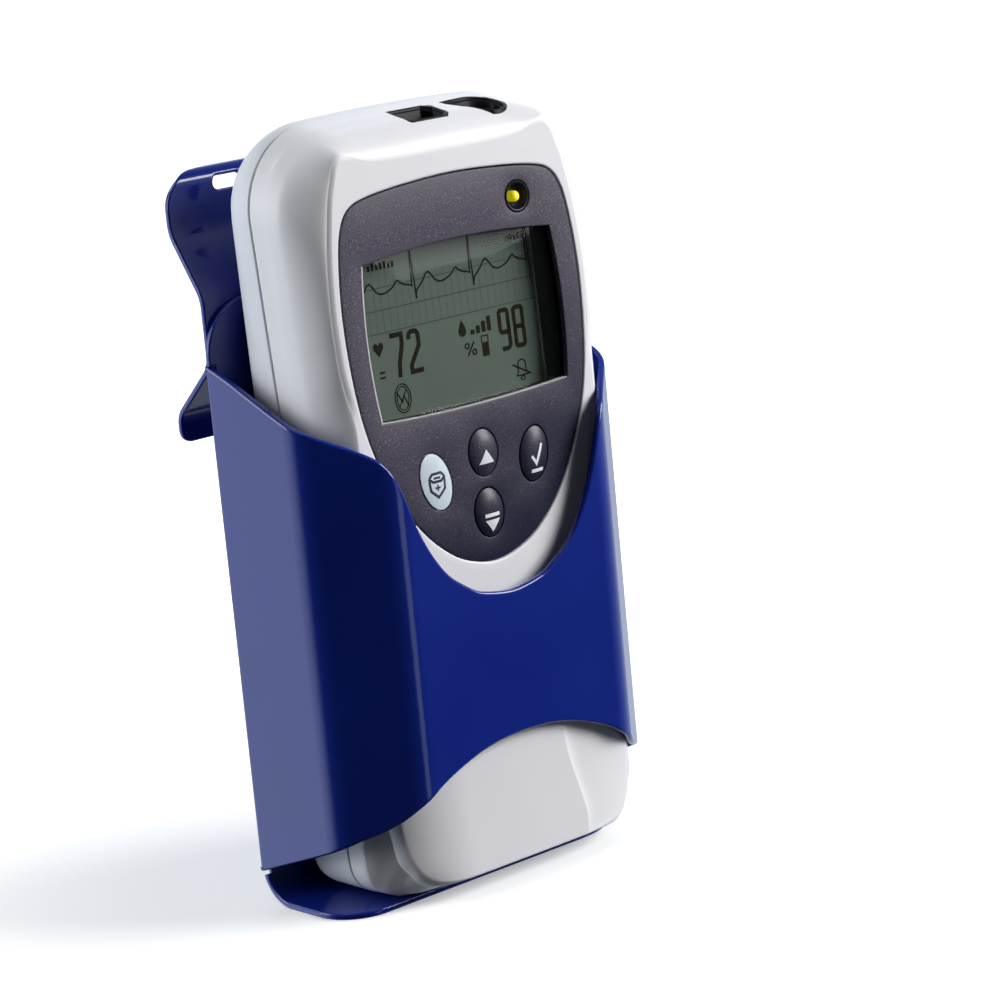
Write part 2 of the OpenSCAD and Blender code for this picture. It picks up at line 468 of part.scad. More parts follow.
cradle_back_plate();
cradle_wrap();
cradle_hook_plate();
cradle_rivets();
cradle_shelf_pad();
front_housing();
rear_housing();
housing_gasket();
front_bezel();
display_window();
lcd_frame();
lcd_panel();
lcd_backlight();
lcd_flex();
led_well();
alarm_led();
nurse_button();
up_button();
down_button();
select_button();
keypad_mat();
keypad_board();
dome_switches();
main_board();
board_chips();
radio_module();
antenna();
ecg_socket();
ecg_contacts();
spo2_socket();
spo2_contacts();
speaker();
battery_pack();
battery_contacts();
battery_door();
battery_latch();
rear_label();
case_screws();
screw_inserts();
board_screws();
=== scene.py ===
import math
import bpy
import bmesh
import numpy as np
from mathutils import Vector, Matrix


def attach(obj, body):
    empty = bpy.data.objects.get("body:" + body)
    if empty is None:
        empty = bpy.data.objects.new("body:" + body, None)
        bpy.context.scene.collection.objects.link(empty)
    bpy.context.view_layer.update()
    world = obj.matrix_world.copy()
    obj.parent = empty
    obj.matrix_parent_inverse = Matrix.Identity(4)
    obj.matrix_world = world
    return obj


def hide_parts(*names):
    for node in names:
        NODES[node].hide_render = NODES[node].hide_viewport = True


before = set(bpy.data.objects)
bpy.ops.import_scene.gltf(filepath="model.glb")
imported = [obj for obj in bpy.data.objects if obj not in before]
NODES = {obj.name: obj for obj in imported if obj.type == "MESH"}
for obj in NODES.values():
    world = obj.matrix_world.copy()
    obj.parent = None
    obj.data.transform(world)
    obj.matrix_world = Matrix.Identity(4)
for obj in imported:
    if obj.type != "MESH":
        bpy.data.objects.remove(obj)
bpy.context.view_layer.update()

MM = 0.001

# ------------------------------------------------------------------ camera
A, E, R = math.radians(-41.35), math.radians(12.3), math.radians(5.4)
back = Vector((math.sin(A) * math.cos(E), -math.cos(A) * math.cos(E), math.sin(E)))
right = Vector((math.cos(A), math.sin(A), 0.0))
up = back.cross(right)
cam_x = right * math.cos(R) - up * math.sin(R)
cam_y = up * math.cos(R) + right * math.sin(R)
target = Vector((0.016667, -0.002, 0.085559))
cam_data = bpy.data.cameras.new("photo_camera")
cam_data.lens = 126.6
cam_data.sensor_width = 36.0
cam_data.clip_start = 0.02
cam_data.clip_end = 50.0
cam = bpy.data.objects.new("photo_camera", cam_data)
m = Matrix((cam_x, cam_y, back)).transposed().to_4x4()
m.translation = target + back * 0.840
cam.matrix_world = m
bpy.context.scene.collection.objects.link(cam)
bpy.context.scene.camera = cam

# ------------------------------------------------------------------ leaning frame of the front face
LEAN = math.radians(2.69)
CL, SL = math.cos(LEAN), math.sin(LEAN)


def F(x, yp, zp):
    """Point of the leaning face frame (x, depth behind the face, height on it), in mm, to the object frame in mm."""
    return (x, -21.84 + yp * CL + zp * SL, zp * CL - yp * SL)


def Farr(P):
    P = np.asarray(P, float)
    return np.stack([P[..., 0], -21.84 + P[..., 1] * CL + P[..., 2] * SL, P[..., 2] * CL - P[..., 1] * SL], -1)


# ------------------------------------------------------------------ 2-D curves, as in the part's own source
def arc(cx, cz, r, a0, a1, n):
    return [(cx + r * math.cos(math.radians(a0 + (a1 - a0) * i / n)), cz + r * math.sin(math.radians(a0 + (a1 - a0) * i / n))) for i in range(n + 1)]


def mirror_x(P):
    return [(-p[0], p[1]) for p in reversed(P)]


def cr(a, b, c, d, u):
    return 0.5 * (2 * b + (c - a) * u + (2 * a - 5 * b + 4 * c - d) * u * u + (3 * b - a - 3 * c + d) * u ** 3)


def smooth(P, n):
    P = [np.array(p, float) for p in P]
    m = len(P) - 1
    out = []
    for i in range(m):
        for k in range(n):
            out.append(cr(P[max(i - 1, 0)], P[i], P[i + 1], P[min(i + 2, m)], k / n))
    out.append(P[m])
    return [tuple(p) for p in out]


def smooth_loop(P, n):
    P = [np.array(p, float) for p in P]
    m = len(P)
    return [tuple(cr(P[(i - 1) % m], P[i], P[(i + 1) % m], P[(i + 2) % m], k / n)) for i in range(m) for k in range(n)]


def ell(cx, cz, a, b, rot, n=96):
    c, s = math.cos(math.radians(rot)), math.sin(math.radians(rot))
    out = []
    for i in range(n):
        w = 2 * math.pi * i / n
        out.append((cx + a * math.cos(w) * c - b * math.sin(w) * s, cz + a * math.cos(w) * s + b * math.sin(w) * c))
    return out


CROWN = 600.0


def case_outline(wt, wb, top, bot, rt, rb, n=24):
    zc = top - CROWN + math.sqrt((CROWN - rt) ** 2 - (wt - rt) ** 2)
    ae = math.degrees(math.atan2(zc - (top - CROWN), wt - rt))
    r = arc(wb - rb, bot + rb, rb, -90, 0, n) + arc(wt - rt, zc, rt, 0, ae, n)
    r += [(CROWN * math.cos(math.radians(ae + (90 - ae) * i / 8)), top - CROWN + CROWN * math.sin(math.radians(ae + (90 - ae) * i / 8))) for i in range(1, 8)]
    return r + [(0.0, top)] + mirror_x(r)


def ray_radius(poly, cx, cz, phis):
    """Distance from (cx, cz) to a closed star-shaped outline along each direction."""
    P = np.array(poly, float) - (cx, cz)
    Q = np.roll(P, -1, 0)
    out = np.zeros(len(phis))
    for i, ph in enumerate(phis):
        d = np.array((math.cos(ph), math.sin(ph)))
        e = Q - P
        den = d[0] * e[:, 1] - d[1] * e[:, 0]
        den = np.where(np.abs(den) < 1e-12, 1e-12, den)
        t = (P[:, 0] * e[:, 1] - P[:, 1] * e[:, 0]) / den
        s = (P[:, 0] * d[1] - P[:, 1] * d[0]) / den
        ok = (t > 0) & (s >= -1e-9) & (s <= 1 + 1e-9)
        out[i] = t[ok].max()
    return out


def unit(v):
    return v / np.linalg.norm(v)


def bend(Aa, B, C, r, n):
    u, v = unit(Aa - B), unit(C - B)
    cosw = float(u @ v)
    half = math.acos(cosw) / 2
    d = r / math.tan(half)
    c = B + unit(u + v) * (r / math.sin(half))
    p, q = B + u * d, B + v * d
    a0 = math.atan2(*(p - c)[::-1])
    a1 = math.atan2(*(q - c)[::-1])
    da = a1 - a0
    if da > math.pi: da -= 2 * math.pi
    if da < -math.pi: da += 2 * math.pi
    return [c + r * np.array((math.cos(a0 + da * i / n), math.sin(a0 + da * i / n))) for i in range(n + 1)]


def bent_path(P, Rr, n=12):
    P = [np.array(p, float) for p in P]
    out = [P[0]]
    for i in range(1, len(P) - 1):
        out += bend(P[i - 1], P[i], P[i + 1], Rr[i], n) if Rr[i] > 0 else [P[i]]
    out.append(P[-1])
    keep = [out[0]]
    for p in out[1:]:
        if np.linalg.norm(p - keep[-1]) > 1e-6:
            keep.append(p)
    return np.array(keep)


# ------------------------------------------------------------------ mesh helpers
def make(name, verts, faces, mat, body, slot, replaces=(), sharp=32.0, flip=False):
    me = bpy.data.meshes.new(name)
    me.from_pydata([tuple(float(c) * MM for c in v) for v in verts], [], [tuple(int(i) for i in f) for f in faces])
    me.update()
    ob = bpy.data.objects.new(name, me)
    bpy.context.scene.collection.objects.link(ob)
    tidy(ob, sharp, flip)
    me.materials.append(mat)
    finish_piece(ob, body, replaces)
    return ob


def tidy(ob, sharp=32.0, flip=False):
    me = ob.data
    bm = bmesh.new()
    bm.from_mesh(me)
    bmesh.ops.remove_doubles(bm, verts=bm.verts, dist=2e-6)
    bmesh.ops.dissolve_degenerate(bm, edges=bm.edges, dist=1e-6)
    loose = [v for v in bm.verts if not v.link_faces]
    bmesh.ops.delete(bm, geom=loose, context="VERTS")
    bmesh.ops.recalc_face_normals(bm, faces=bm.faces)
    if flip:
        bmesh.ops.reverse_faces(bm, faces=bm.faces)
    bm.to_mesh(me)
    bm.free()
    me.shade_smooth()
    me.set_sharp_from_angle(angle=math.radians(sharp))
    me.update()


PIECES = []


def finish_piece(ob, body, replaces=()):
    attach(ob, body)
    if replaces:
        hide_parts(*replaces)
    PIECES.append(ob)
    return ob


def loft(rings, closed=True, cap0=False, cap1=False):
    """rings: list of (N,3) arrays. Returns verts, faces."""
    N = len(rings[0])
    verts = np.concatenate(rings)
    faces = []
    last = N if closed else N - 1
    for j in range(len(rings) - 1):
        a, b = j * N, (j + 1) * N
        for i in range(last):
            k = (i + 1) % N
            faces.append((a + i, a + k, b + k, b + i))
    if cap0:
        faces.append(tuple(range(N))[::-1])
    if cap1:
        o = (len(rings) - 1) * N
        faces.append(tuple(o + i for i in range(N)))
    return verts, faces


def join_geo(*parts):
    V, Fc, o = [], [], 0
    for v, f in parts:
        v = np.asarray(v, float)
        V.append(v)
        Fc += [tuple(i + o for i in face) for face in f]
        o += len(v)
    return np.concatenate(V), Fc


def loop_offset(P, d):
    """Closed outline moved outward by d (inward if negative), with mitred corners."""
    P = np.array(P, float)
    area = 0.5 * np.sum(P[:, 0] * np.roll(P[:, 1], -1) - np.roll(P[:, 0], -1) * P[:, 1])
    sgn = 1.0 if area > 0 else -1.0
    e0 = P - np.roll(P, 1, 0)
    e1 = np.roll(P, -1, 0) - P
    e0 /= np.maximum(np.linalg.norm(e0, axis=1, keepdims=True), 1e-9)
    e1 /= np.maximum(np.linalg.norm(e1, axis=1, keepdims=True), 1e-9)
    n0 = np.stack([e0[:, 1], -e0[:, 0]], 1) * sgn
    n1 = np.stack([e1[:, 1], -e1[:, 0]], 1) * sgn
    n = n0 + n1
    n /= np.maximum(np.linalg.norm(n, axis=1, keepdims=True), 1e-9)
    k = np.maximum(np.sum(n * n0, 1), 0.5)
    return P + n * (d / k)[:, None]


def resample(P, step, closed=True):
    P = np.array(P, float)
    Q = np.concatenate([P, P[:1]]) if closed else P
    out = []
    for i in range(len(Q) - 1):
        L = np.linalg.norm(Q[i + 1] - Q[i])
        if L < 1e-7:
            continue
        n = max(1, int(math.ceil(L / step)))
        for k in range(n):
            out.append(Q[i] + (Q[i + 1] - Q[i]) * k / n)
    if not closed:
        out.append(Q[-1])
    return np.array(out)


def plate_bm(outer, holes, thick, er, steps=3, er2=None, sup=0.0, cuts_u=(), cuts_v=()):
    """Flat plate as a bmesh: outline in (u, v), thickness along w from 0 (face side) to thick, cut edges rounded by er
    on the w = 0 side and er2 on the other, with a flat ring of width sup inside each rounding.
    cuts_u / cuts_v split the flat faces at those places so that the plate can be bent afterwards."""
    bm = bmesh.new()
    er2 = er if er2 is None else er2
    prof = [(er + sup, 0.0)] if sup else []
    for k in range(steps + 1):
        a = math.pi / 2 * k / steps
        prof.append((er * (1 - math.sin(a)), er * (1 - math.cos(a))))       # (inset, w) from face inwards to the side
    prof2 = [(er2 + sup, 0.0)] if sup else []
    for k in range(steps + 1):
        a = math.pi / 2 * k / steps
        prof2.append((er2 * (1 - math.sin(a)), er2 * (1 - math.cos(a))))
    prof_all = prof + [(i, thick - w) for i, w in reversed(prof2)]
    loops = [(np.array(outer, float), -1.0)] + [(np.array(h, float), 1.0) for h in holes]
    first, last = [], []
    for P, s in loops:
        rings = []
        for ins, w in prof_all:
            Q = loop_offset(P, s * ins)
            rings.append([bm.verts.new((q[0], q[1], w)) for q in Q])
        n = len(P)
        for a, b in zip(rings[:-1], rings[1:]):
            for i in range(n):
                k = (i + 1) % n
                bm.faces.new((a[i], a[k], b[k], b[i]))
        first.append(rings[0])
        last.append(rings[-1])
    for rings in (first, last):
        edges = []
        for r in rings:
            for i in range(len(r)):
                e = bm.edges.get((r[i], r[(i + 1) % len(r)]))
                edges.append(e)
        bmesh.ops.triangle_fill(bm, use_beauty=True, use_dissolve=False, edges=edges)
    for u in cuts_u:
        bmesh.ops.bisect_plane(bm, geom=bm.verts[:] + bm.edges[:] + bm.faces[:], dist=1e-5, plane_co=(u, 0, 0), plane_no=(1, 0, 0))
    for v in cuts_v:
        bmesh.ops.bisect_plane(bm, geom=bm.verts[:] + bm.edges[:] + bm.faces[:], dist=1e-5, plane_co=(0, v, 0), plane_no=(0, 1, 0))
    bmesh.ops.recalc_face_normals(bm, faces=bm.faces)
    return bm


def bm_piece(name, bm, fn, mat, body, replaces=(), sharp=32.0):
    """Maps a plate's (u, v, w) to the object frame with fn and makes it a piece."""
    for v in bm.verts:
        v.co = Vector([float(c) * MM for c in fn(v.co.x, v.co.y, v.co.z)])
    me = bpy.data.meshes.new(name)
    bm.to_mesh(me)
    bm.free()
    ob = bpy.data.objects.new(name, me)
    bpy.context.scene.collection.objects.link(ob)
    tidy(ob, sharp)
    me.materials.append(mat)
    finish_piece(ob, body, replaces)
    return ob


def cut(ob, *cutters):
    """Boolean difference, applied at once."""
    for c in cutters:
        md = ob.modifiers.new("cut", "BOOLEAN")
        md.operation = "DIFFERENCE"
        md.solver = "EXACT"
        md.object = c
        bpy.context.view_layer.update()
        dg = bpy.context.evaluated_depsgraph_get()
        me = bpy.data.meshes.new_from_object(ob.evaluated_get(dg))
        ob.modifiers.clear()
        old = ob.data
        ob.data = me
        bpy.data.meshes.remove(old)
        cm = c.data
        bpy.data.objects.remove(c)
        bpy.data.meshes.remove(cm)


def raw(name, verts, faces):
    me = bpy.data.meshes.new(name)
    me.from_pydata([tuple(float(c) * MM for c in v) for v in verts], [], faces)
    bm = bmesh.new()
    bm.from_mesh(me)
    bmesh.ops.recalc_face_normals(bm, faces=bm.faces)
    bm.to_mesh(me)
    bm.free()
    ob = bpy.data.objects.new(name, me)
    bpy.context.scene.collection.objects.link(ob)
    return ob


def prism(loop, y0, y1, fn):
    """Closed prism of an outline (x, z) between two depths, mapped by fn(x, y, z)."""
    P = np.array(loop, float)
    r0 = np.array([fn(p[0], y0, p[1]) for p in P])
    r1 = np.array([fn(p[0], y1, p[1]) for p in P])
    return loft([r0, r1], cap0=True, cap1=True)


def lathe(profile, place, n=48):
    """profile: list of (r, h); place(x, y, h) maps to the object frame."""
    rings = []
    for r, h in profile:
        rings.append(np.array([place(r * math.cos(2 * math.pi * i / n), r * math.sin(2 * math.pi * i / n), h) for i in range(n)]))
    return loft(rings, cap0=True, cap1=True)


def ident(x, y, z):
    return (x, y, z)


def pchip(xs, ys, x):
    """Monotone cubic through columns of ys (k, n) at xs (k,) for x (m,)."""
    xs = np.asarray(xs, float)
    ys = np.asarray(ys, float)
    h = np.diff(xs)
    d = np.diff(ys, axis=0) / h[:, None]
    mm = np.zeros_like(ys)
    mm[0], mm[-1] = d[0], d[-1]
    for k in range(1, len(xs) - 1):
        w1, w2 = 2 * h[k] + h[k - 1], h[k] + 2 * h[k - 1]
        with np.errstate(divide="ignore", invalid="ignore"):
            v = (w1 + w2) / (w1 / d[k - 1] + w2 / d[k])
        mm[k] = np.where(d[k - 1] * d[k] > 0, v, 0)
    out = []
    for q in np.atleast_1d(x):
        k = int(np.clip(np.searchsorted(xs, q) - 1, 0, len(xs) - 2))
        t = (q - xs[k]) / h[k]
        out.append((2 * t ** 3 - 3 * t ** 2 + 1) * ys[k] + (t ** 3 - 2 * t ** 2 + t) * h[k] * mm[k] + (-2 * t ** 3 + 3 * t ** 2) * ys[k + 1] + (t ** 3 - t ** 2) * h[k] * mm[k + 1])
    return np.array(out)


def sstep(a, b, x):
    t = np.clip((np.asarray(x, float) - a) / (b - a), 0, 1)
    return t * t * (3 - 2 * t)


# ------------------------------------------------------------------ materials
def _nodes(name):
    mat = bpy.data.materials.new(name)
    mat.use_nodes = True
    nt = mat.node_tree
    nt.nodes.clear()
    out = nt.nodes.new("ShaderNodeOutputMaterial")
    p = nt.nodes.new("ShaderNodeBsdfPrincipled")
    nt.links.new(p.outputs["BSDF"], out.inputs["Surface"])
    tc = nt.nodes.new("ShaderNodeTexCoord")
    return mat, nt, p, tc


def _noise(nt, tc, scale, detail=3.0, rough=0.5, stretch=None):
    n = nt.nodes.new("ShaderNodeTexNoise")
    n.inputs["Scale"].default_value = scale
    n.inputs["Detail"].default_value = detail
    n.inputs["Roughness"].default_value = rough
    src = tc.outputs["Object"]
    if stretch:
        mp = nt.nodes.new("ShaderNodeMapping")
        mp.inputs["Scale"].default_value = stretch
        nt.links.new(src, mp.inputs["Vector"])
        src = mp.outputs["Vector"]
    nt.links.new(src, n.inputs["Vector"])
    return n


def _ramp(nt, fac, stops):
    r = nt.nodes.new("ShaderNodeValToRGB")
    while len(r.color_ramp.elements) > 1:
        r.color_ramp.elements.remove(r.color_ramp.elements[-1])
    for i, (pos, col) in enumerate(stops):
        e = r.color_ramp.elements[0] if i == 0 else r.color_ramp.elements.new(pos)
        e.position = pos
        e.color = (*col, 1.0)
    nt.links.new(fac, r.inputs["Fac"])
    return r


def _range(nt, fac, lo, hi, f0=0.3, f1=0.7):
    r = nt.nodes.new("ShaderNodeMapRange")
    r.inputs["From Min"].default_value = f0
    r.inputs["From Max"].default_value = f1
    r.inputs["To Min"].default_value = lo
    r.inputs["To Max"].default_value = hi
    nt.links.new(fac, r.inputs["Value"])
    return r


def _bump(nt, p, height, strength, dist, socket="Normal"):
    b = nt.nodes.new("ShaderNodeBump")
    b.inputs["Strength"].default_value = strength
    b.inputs["Distance"].default_value = dist
    nt.links.new(height, b.inputs["Height"])
    nt.links.new(b.outputs["Normal"], p.inputs[socket])
    return b


def surface(name, c0, c1, rough=(0.35, 0.45), scale=60.0, bump=None, metal=0.0, spec=0.5, coat=0.0, coat_rough=0.05, ior=1.5, detail=4.0, sub=0.0, stretch=None, stops=None):
    """Principled surface: colour drifts between c0 and c1, roughness between two values, with a fine bump (scale, strength, distance)."""
    mat, nt, p, tc = _nodes(name)
    n = _noise(nt, tc, scale, detail, 0.55, stretch)
    r = _ramp(nt, n.outputs["Fac"], stops or [(0.32, c0), (0.68, c1)])
    nt.links.new(r.outputs["Color"], p.inputs["Base Color"])
    rr = _range(nt, n.outputs["Fac"], rough[0], rough[1])
    nt.links.new(rr.outputs["Result"], p.inputs["Roughness"])
    p.inputs["Metallic"].default_value = metal
    p.inputs["IOR"].default_value = ior
    p.inputs["Specular IOR Level"].default_value = spec
    p.inputs["Coat Weight"].default_value = coat
    p.inputs["Coat Roughness"].default_value = coat_rough
    if sub:
        p.inputs["Subsurface Weight"].default_value = sub
        p.inputs["Subsurface Radius"].default_value = (0.002, 0.0018, 0.0016)
    if bump:
        bn = _noise(nt, tc, bump[0], 3.0, 0.6)
        _bump(nt, p, bn.outputs["Fac"], bump[1], bump[2])
    return mat


def speckle(name, dark, mid, light, rough, scale, bump, coat=0.0, amount=0.62, spec=0.5, grad=None):
    """Fine sparkle grain over a soft drift of tone. grad = (g0, g1, colour) is painted shade: it multiplies the colour
    darker and bluer towards g0, with g = z - x / 2, that is towards the bottom and the right.
    """
    mat, nt, p, tc = _nodes(name)
    v = _noise(nt, tc, scale, 2.0, 0.7)
    r = _ramp(nt, v.outputs["Fac"], [(0.30, dark), (0.50, mid), (amount, mid), (amount + 0.14, light)])
    src = r.outputs["Color"]
    # painted shade: darker and bluer towards the bottom and the right
    if grad:
        sx = nt.nodes.new("ShaderNodeSeparateXYZ")
        nt.links.new(tc.outputs["Object"], sx.inputs["Vector"])
        gm = nt.nodes.new("ShaderNodeMath")
        gm.operation = "MULTIPLY_ADD"
        nt.links.new(sx.outputs["X"], gm.inputs[0])
        gm.inputs[1].default_value = -0.5
        nt.links.new(sx.outputs["Z"], gm.inputs[2])
        g = _range(nt, gm.outputs["Value"], 0.0, 1.0, grad[0], grad[1])
        g.clamp = True
        mx = nt.nodes.new("ShaderNodeMix")
        mx.data_type = "RGBA"
        mx.blend_type = "MULTIPLY"
        mx.inputs["Factor"].default_value = 1.0
        gr = _ramp(nt, g.outputs["Result"], [(0.0, grad[2]), (1.0, (1, 1, 1))])
        nt.links.new(src, mx.inputs["A"])
        nt.links.new(gr.outputs["Color"], mx.inputs["B"])
        src = mx.outputs["Result"]
    nt.links.new(src, p.inputs["Base Color"])
    rr = _range(nt, v.outputs["Fac"], rough[0], rough[1])
    nt.links.new(rr.outputs["Result"], p.inputs["Roughness"])
    p.inputs["Specular IOR Level"].default_value = spec
    p.inputs["Coat Weight"].default_value = coat
    p.inputs["Coat Roughness"].default_value = 0.25
    _bump(nt, p, v.outputs["Fac"], bump[0], bump[1])
    return mat


def enamel(name):
    """Glossy cobalt coating over steel: deep body colour, faint orange-peel under a clear coat, and a painted
    highlight that makes the cut edges lighter by their pointiness.
    """
    mat, nt, p, tc = _nodes(name)
    n = _noise(nt, tc, 25.0, 3.0, 0.5)
    r = _ramp(nt, n.outputs["Fac"], [(0.3, (0.0045, 0.0175, 0.215)), (0.7, (0.0058, 0.0215, 0.250))])
    geo = nt.nodes.new("ShaderNodeNewGeometry")
    # painted highlight: sharp cut edges (high pointiness) are mixed towards a lighter blue
    edge = _ramp(nt, geo.outputs["Pointiness"], [(0.53, (0, 0, 0)), (0.64, (1, 1, 1))])
    mx = nt.nodes.new("ShaderNodeMix")
    mx.data_type = "RGBA"
    nt.links.new(edge.outputs["Color"], mx.inputs["Factor"])
    nt.links.new(r.outputs["Color"], mx.inputs["A"])
    mx.inputs["B"].default_value = (0.06, 0.09, 0.40, 1)
    nt.links.new(mx.outputs["Result"], p.inputs["Base Color"])
    rr = _range(nt, n.outputs["Fac"], 0.36, 0.44)
    nt.links.new(rr.outputs["Result"], p.inputs["Roughness"])
    p.inputs["Specular IOR Level"].default_value = 0.08
    p.inputs["Coat Weight"].default_value = 0.85
    p.inputs["Coat Roughness"].default_value = 0.07
    p.inputs["Coat IOR"].default_value = 1.5
    peel = _noise(nt, tc, 420.0, 2.0, 0.5)
    _bump(nt, p, peel.outputs["Fac"], 0.10, 0.0003, "Coat Normal")
    return mat


M = {}
M["blue"] = enamel("cradle_enamel")
M["pearl"] = surface("case_pearl_plastic", (0.78, 0.775, 0.80), (0.83, 0.825, 0.85), rough=(0.36, 0.44), scale=18.0, bump=(2600.0, 0.22, 0.00006), spec=0.35, coat=0.05, coat_rough=0.25)
M["pearl_rear"] = surface("case_pearl_rear", (0.72, 0.73, 0.78), (0.77, 0.78, 0.83), rough=(0.38, 0.46), scale=18.0, bump=(2600.0, 0.25, 0.00006), spec=0.35, coat=0.05, coat_rough=0.3)
# fascia and button caps carry painted shade towards the bottom and right, where the cradle's band shades them
M["fascia"] = speckle("fascia_sparkle", (0.034, 0.030, 0.047), (0.080, 0.070, 0.100), (0.50, 0.45, 0.54), (0.40, 0.56), 3300.0, (0.25, 0.00006), coat=0.03, spec=0.25, grad=(0.080, 0.128, (0.10, 0.13, 0.32)))
M["button"] = speckle("button_sparkle", (0.032, 0.028, 0.044), (0.074, 0.064, 0.092), (0.42, 0.38, 0.46), (0.36, 0.48), 3300.0, (0.20, 0.00005), coat=0.12, spec=0.3, grad=(0.080, 0.128, (0.12, 0.15, 0.34)))
M["pale"] = surface("button_pale_gloss", (0.62, 0.72, 0.80), (0.70, 0.79, 0.86), rough=(0.22, 0.3), scale=90.0, bump=(1500.0, 0.1, 0.00004), coat=0.4, coat_rough=0.1)
M["ink_white"] = surface("print_white", (0.80, 0.83, 0.87), (0.88, 0.90, 0.93), rough=(0.4, 0.5), scale=200.0, bump=(4000.0, 0.2, 0.00002))
M["ink_dark"] = surface("print_dark", (0.010, 0.014, 0.035), (0.018, 0.022, 0.05), rough=(0.4, 0.5), scale=200.0, bump=(4000.0, 0.2, 0.00002))
M["black"] = surface("black_plastic", (0.012, 0.012, 0.016), (0.022, 0.022, 0.028), rough=(0.28, 0.4), scale=70.0, bump=(1800.0, 0.25, 0.00006), coat=0.25, coat_rough=0.15)
M["matt_black"] = surface("matt_black", (0.003, 0.003, 0.004), (0.006, 0.006, 0.008), rough=(0.55, 0.7), scale=120.0, bump=(2500.0, 0.3, 0.00005), spec=0.25)
M["rubber"] = surface("seal_rubber", (0.010, 0.010, 0.012), (0.020, 0.020, 0.022), rough=(0.6, 0.75), scale=150.0, bump=(1600.0, 0.4, 0.00008), spec=0.3)
M["lcd"] = surface("display_glass", (0.118, 0.160, 0.134), (0.140, 0.186, 0.152), rough=(0.34, 0.40), scale=26.0, bump=(5200.0, 0.03, 0.00001), spec=0.1, detail=2.0)
M["lcd_ink"] = surface("display_segments", (0.012, 0.008, 0.003), (0.020, 0.013, 0.005), rough=(0.5, 0.6), scale=400.0, bump=(5200.0, 0.03, 0.00001), spec=0.05)
M["lcd_grid"] = surface("display_grid", (0.058, 0.086, 0.074), (0.070, 0.098, 0.086), rough=(0.4, 0.5), scale=300.0, bump=(5200.0, 0.03, 0.00001), spec=0.1)
M["lcd_faint"] = surface("display_faint", (0.095, 0.132, 0.112), (0.108, 0.148, 0.124), rough=(0.4, 0.5), scale=300.0, bump=(5200.0, 0.03, 0.00001), spec=0.1)
M["lamp"] = surface("lamp_yellow", (0.80, 0.72, 0.03), (0.95, 0.88, 0.08), rough=(0.12, 0.2), scale=700.0, bump=(2500.0, 0.1, 0.00003), coat=0.6, coat_rough=0.05, sub=0.1)
lp = [q for q in M["lamp"].node_tree.nodes if q.type == "BSDF_PRINCIPLED"][0]
lp.inputs["Emission Color"].default_value = (1.0, 0.86, 0.0, 1.0)
lp.inputs["Emission Strength"].default_value = 0.35
M["sock"] = surface("socket_black", (0.0035, 0.0035, 0.0045), (0.006, 0.006, 0.008), rough=(0.45, 0.6), scale=70.0, bump=(1800.0, 0.2, 0.00005), spec=0.12, coat=0.05, coat_rough=0.2)
M["well"] = surface("well_navy", (0.003, 0.003, 0.010), (0.006, 0.006, 0.020), rough=(0.4, 0.5), scale=200.0, bump=(2500.0, 0.2, 0.00004), spec=0.15, coat=0.12, coat_rough=0.12)
M["steel"] = surface("screw_steel", (0.50, 0.50, 0.51), (0.62, 0.62, 0.63), rough=(0.22, 0.36), scale=500.0, bump=(2200.0, 0.2, 0.00004), metal=1.0, stretch=(1, 1, 6))
M["rivet"] = surface("rivet_blue", (0.010, 0.016, 0.16), (0.020, 0.030, 0.22), rough=(0.25, 0.35), scale=160.0, bump=(1400.0, 0.2, 0.00005), coat=0.7, coat_rough=0.12)
M["brass"] = surface("contact_gold", (0.80, 0.58, 0.22), (0.92, 0.70, 0.30), rough=(0.18, 0.28), scale=600.0, bump=(2600.0, 0.15, 0.00003), metal=1.0)
M["pcb"] = surface("circuit_board", (0.010, 0.085, 0.035), (0.020, 0.130, 0.055), rough=(0.3, 0.42), scale=220.0, bump=(900.0, 0.25, 0.00006), coat=0.3)
M["chip"] = surface("chip_black", (0.014, 0.014, 0.015), (0.028, 0.028, 0.030), rough=(0.45, 0.6), scale=300.0, bump=(2400.0, 0.3, 0.00005))
M["shield"] = surface("shield_can", (0.52, 0.53, 0.54), (0.64, 0.65, 0.66), rough=(0.28, 0.42), scale=260.0, bump=(1500.0, 0.2, 0.00004), metal=1.0)
M["foil"] = surface("flex_foil", (0.42, 0.22, 0.04), (0.55, 0.30, 0.07), rough=(0.3, 0.42), scale=300.0, bump=(1500.0, 0.2, 0.00004), coat=0.3)
M["guide"] = surface("light_guide", (0.80, 0.81, 0.78), (0.88, 0.89, 0.86), rough=(0.3, 0.4), scale=120.0, bump=(1800.0, 0.15, 0.00004), sub=0.1)
M["battery"] = surface("battery_case", (0.028, 0.032, 0.045), (0.045, 0.050, 0.065), rough=(0.42, 0.55), scale=90.0, bump=(1500.0, 0.35, 0.00008))
M["latch"] = surface("latch_grey", (0.070, 0.073, 0.085), (0.095, 0.098, 0.112), rough=(0.38, 0.5), scale=120.0, bump=(1600.0, 0.3, 0.00006))
M["label"] = surface("label_white", (0.80, 0.80, 0.79), (0.88, 0.88, 0.87), rough=(0.42, 0.52), scale=60.0, bump=(900.0, 0.12, 0.00004))
M["mat_rubber"] = surface("keypad_rubber", (0.030, 0.030, 0.034), (0.045, 0.045, 0.050), rough=(0.6, 0.75), scale=140.0, bump=(1700.0, 0.35, 0.00006))
# pale trim colour; on the window's lower wall and left edge it is painted light and a painted highlight
M["rimlight"] = surface("window_rim_pale_and_painted_light", (0.62, 0.62, 0.60), (0.74, 0.74, 0.72), rough=(0.25, 0.35), scale=300.0, bump=(2000.0, 0.15, 0.00003), coat=0.4)


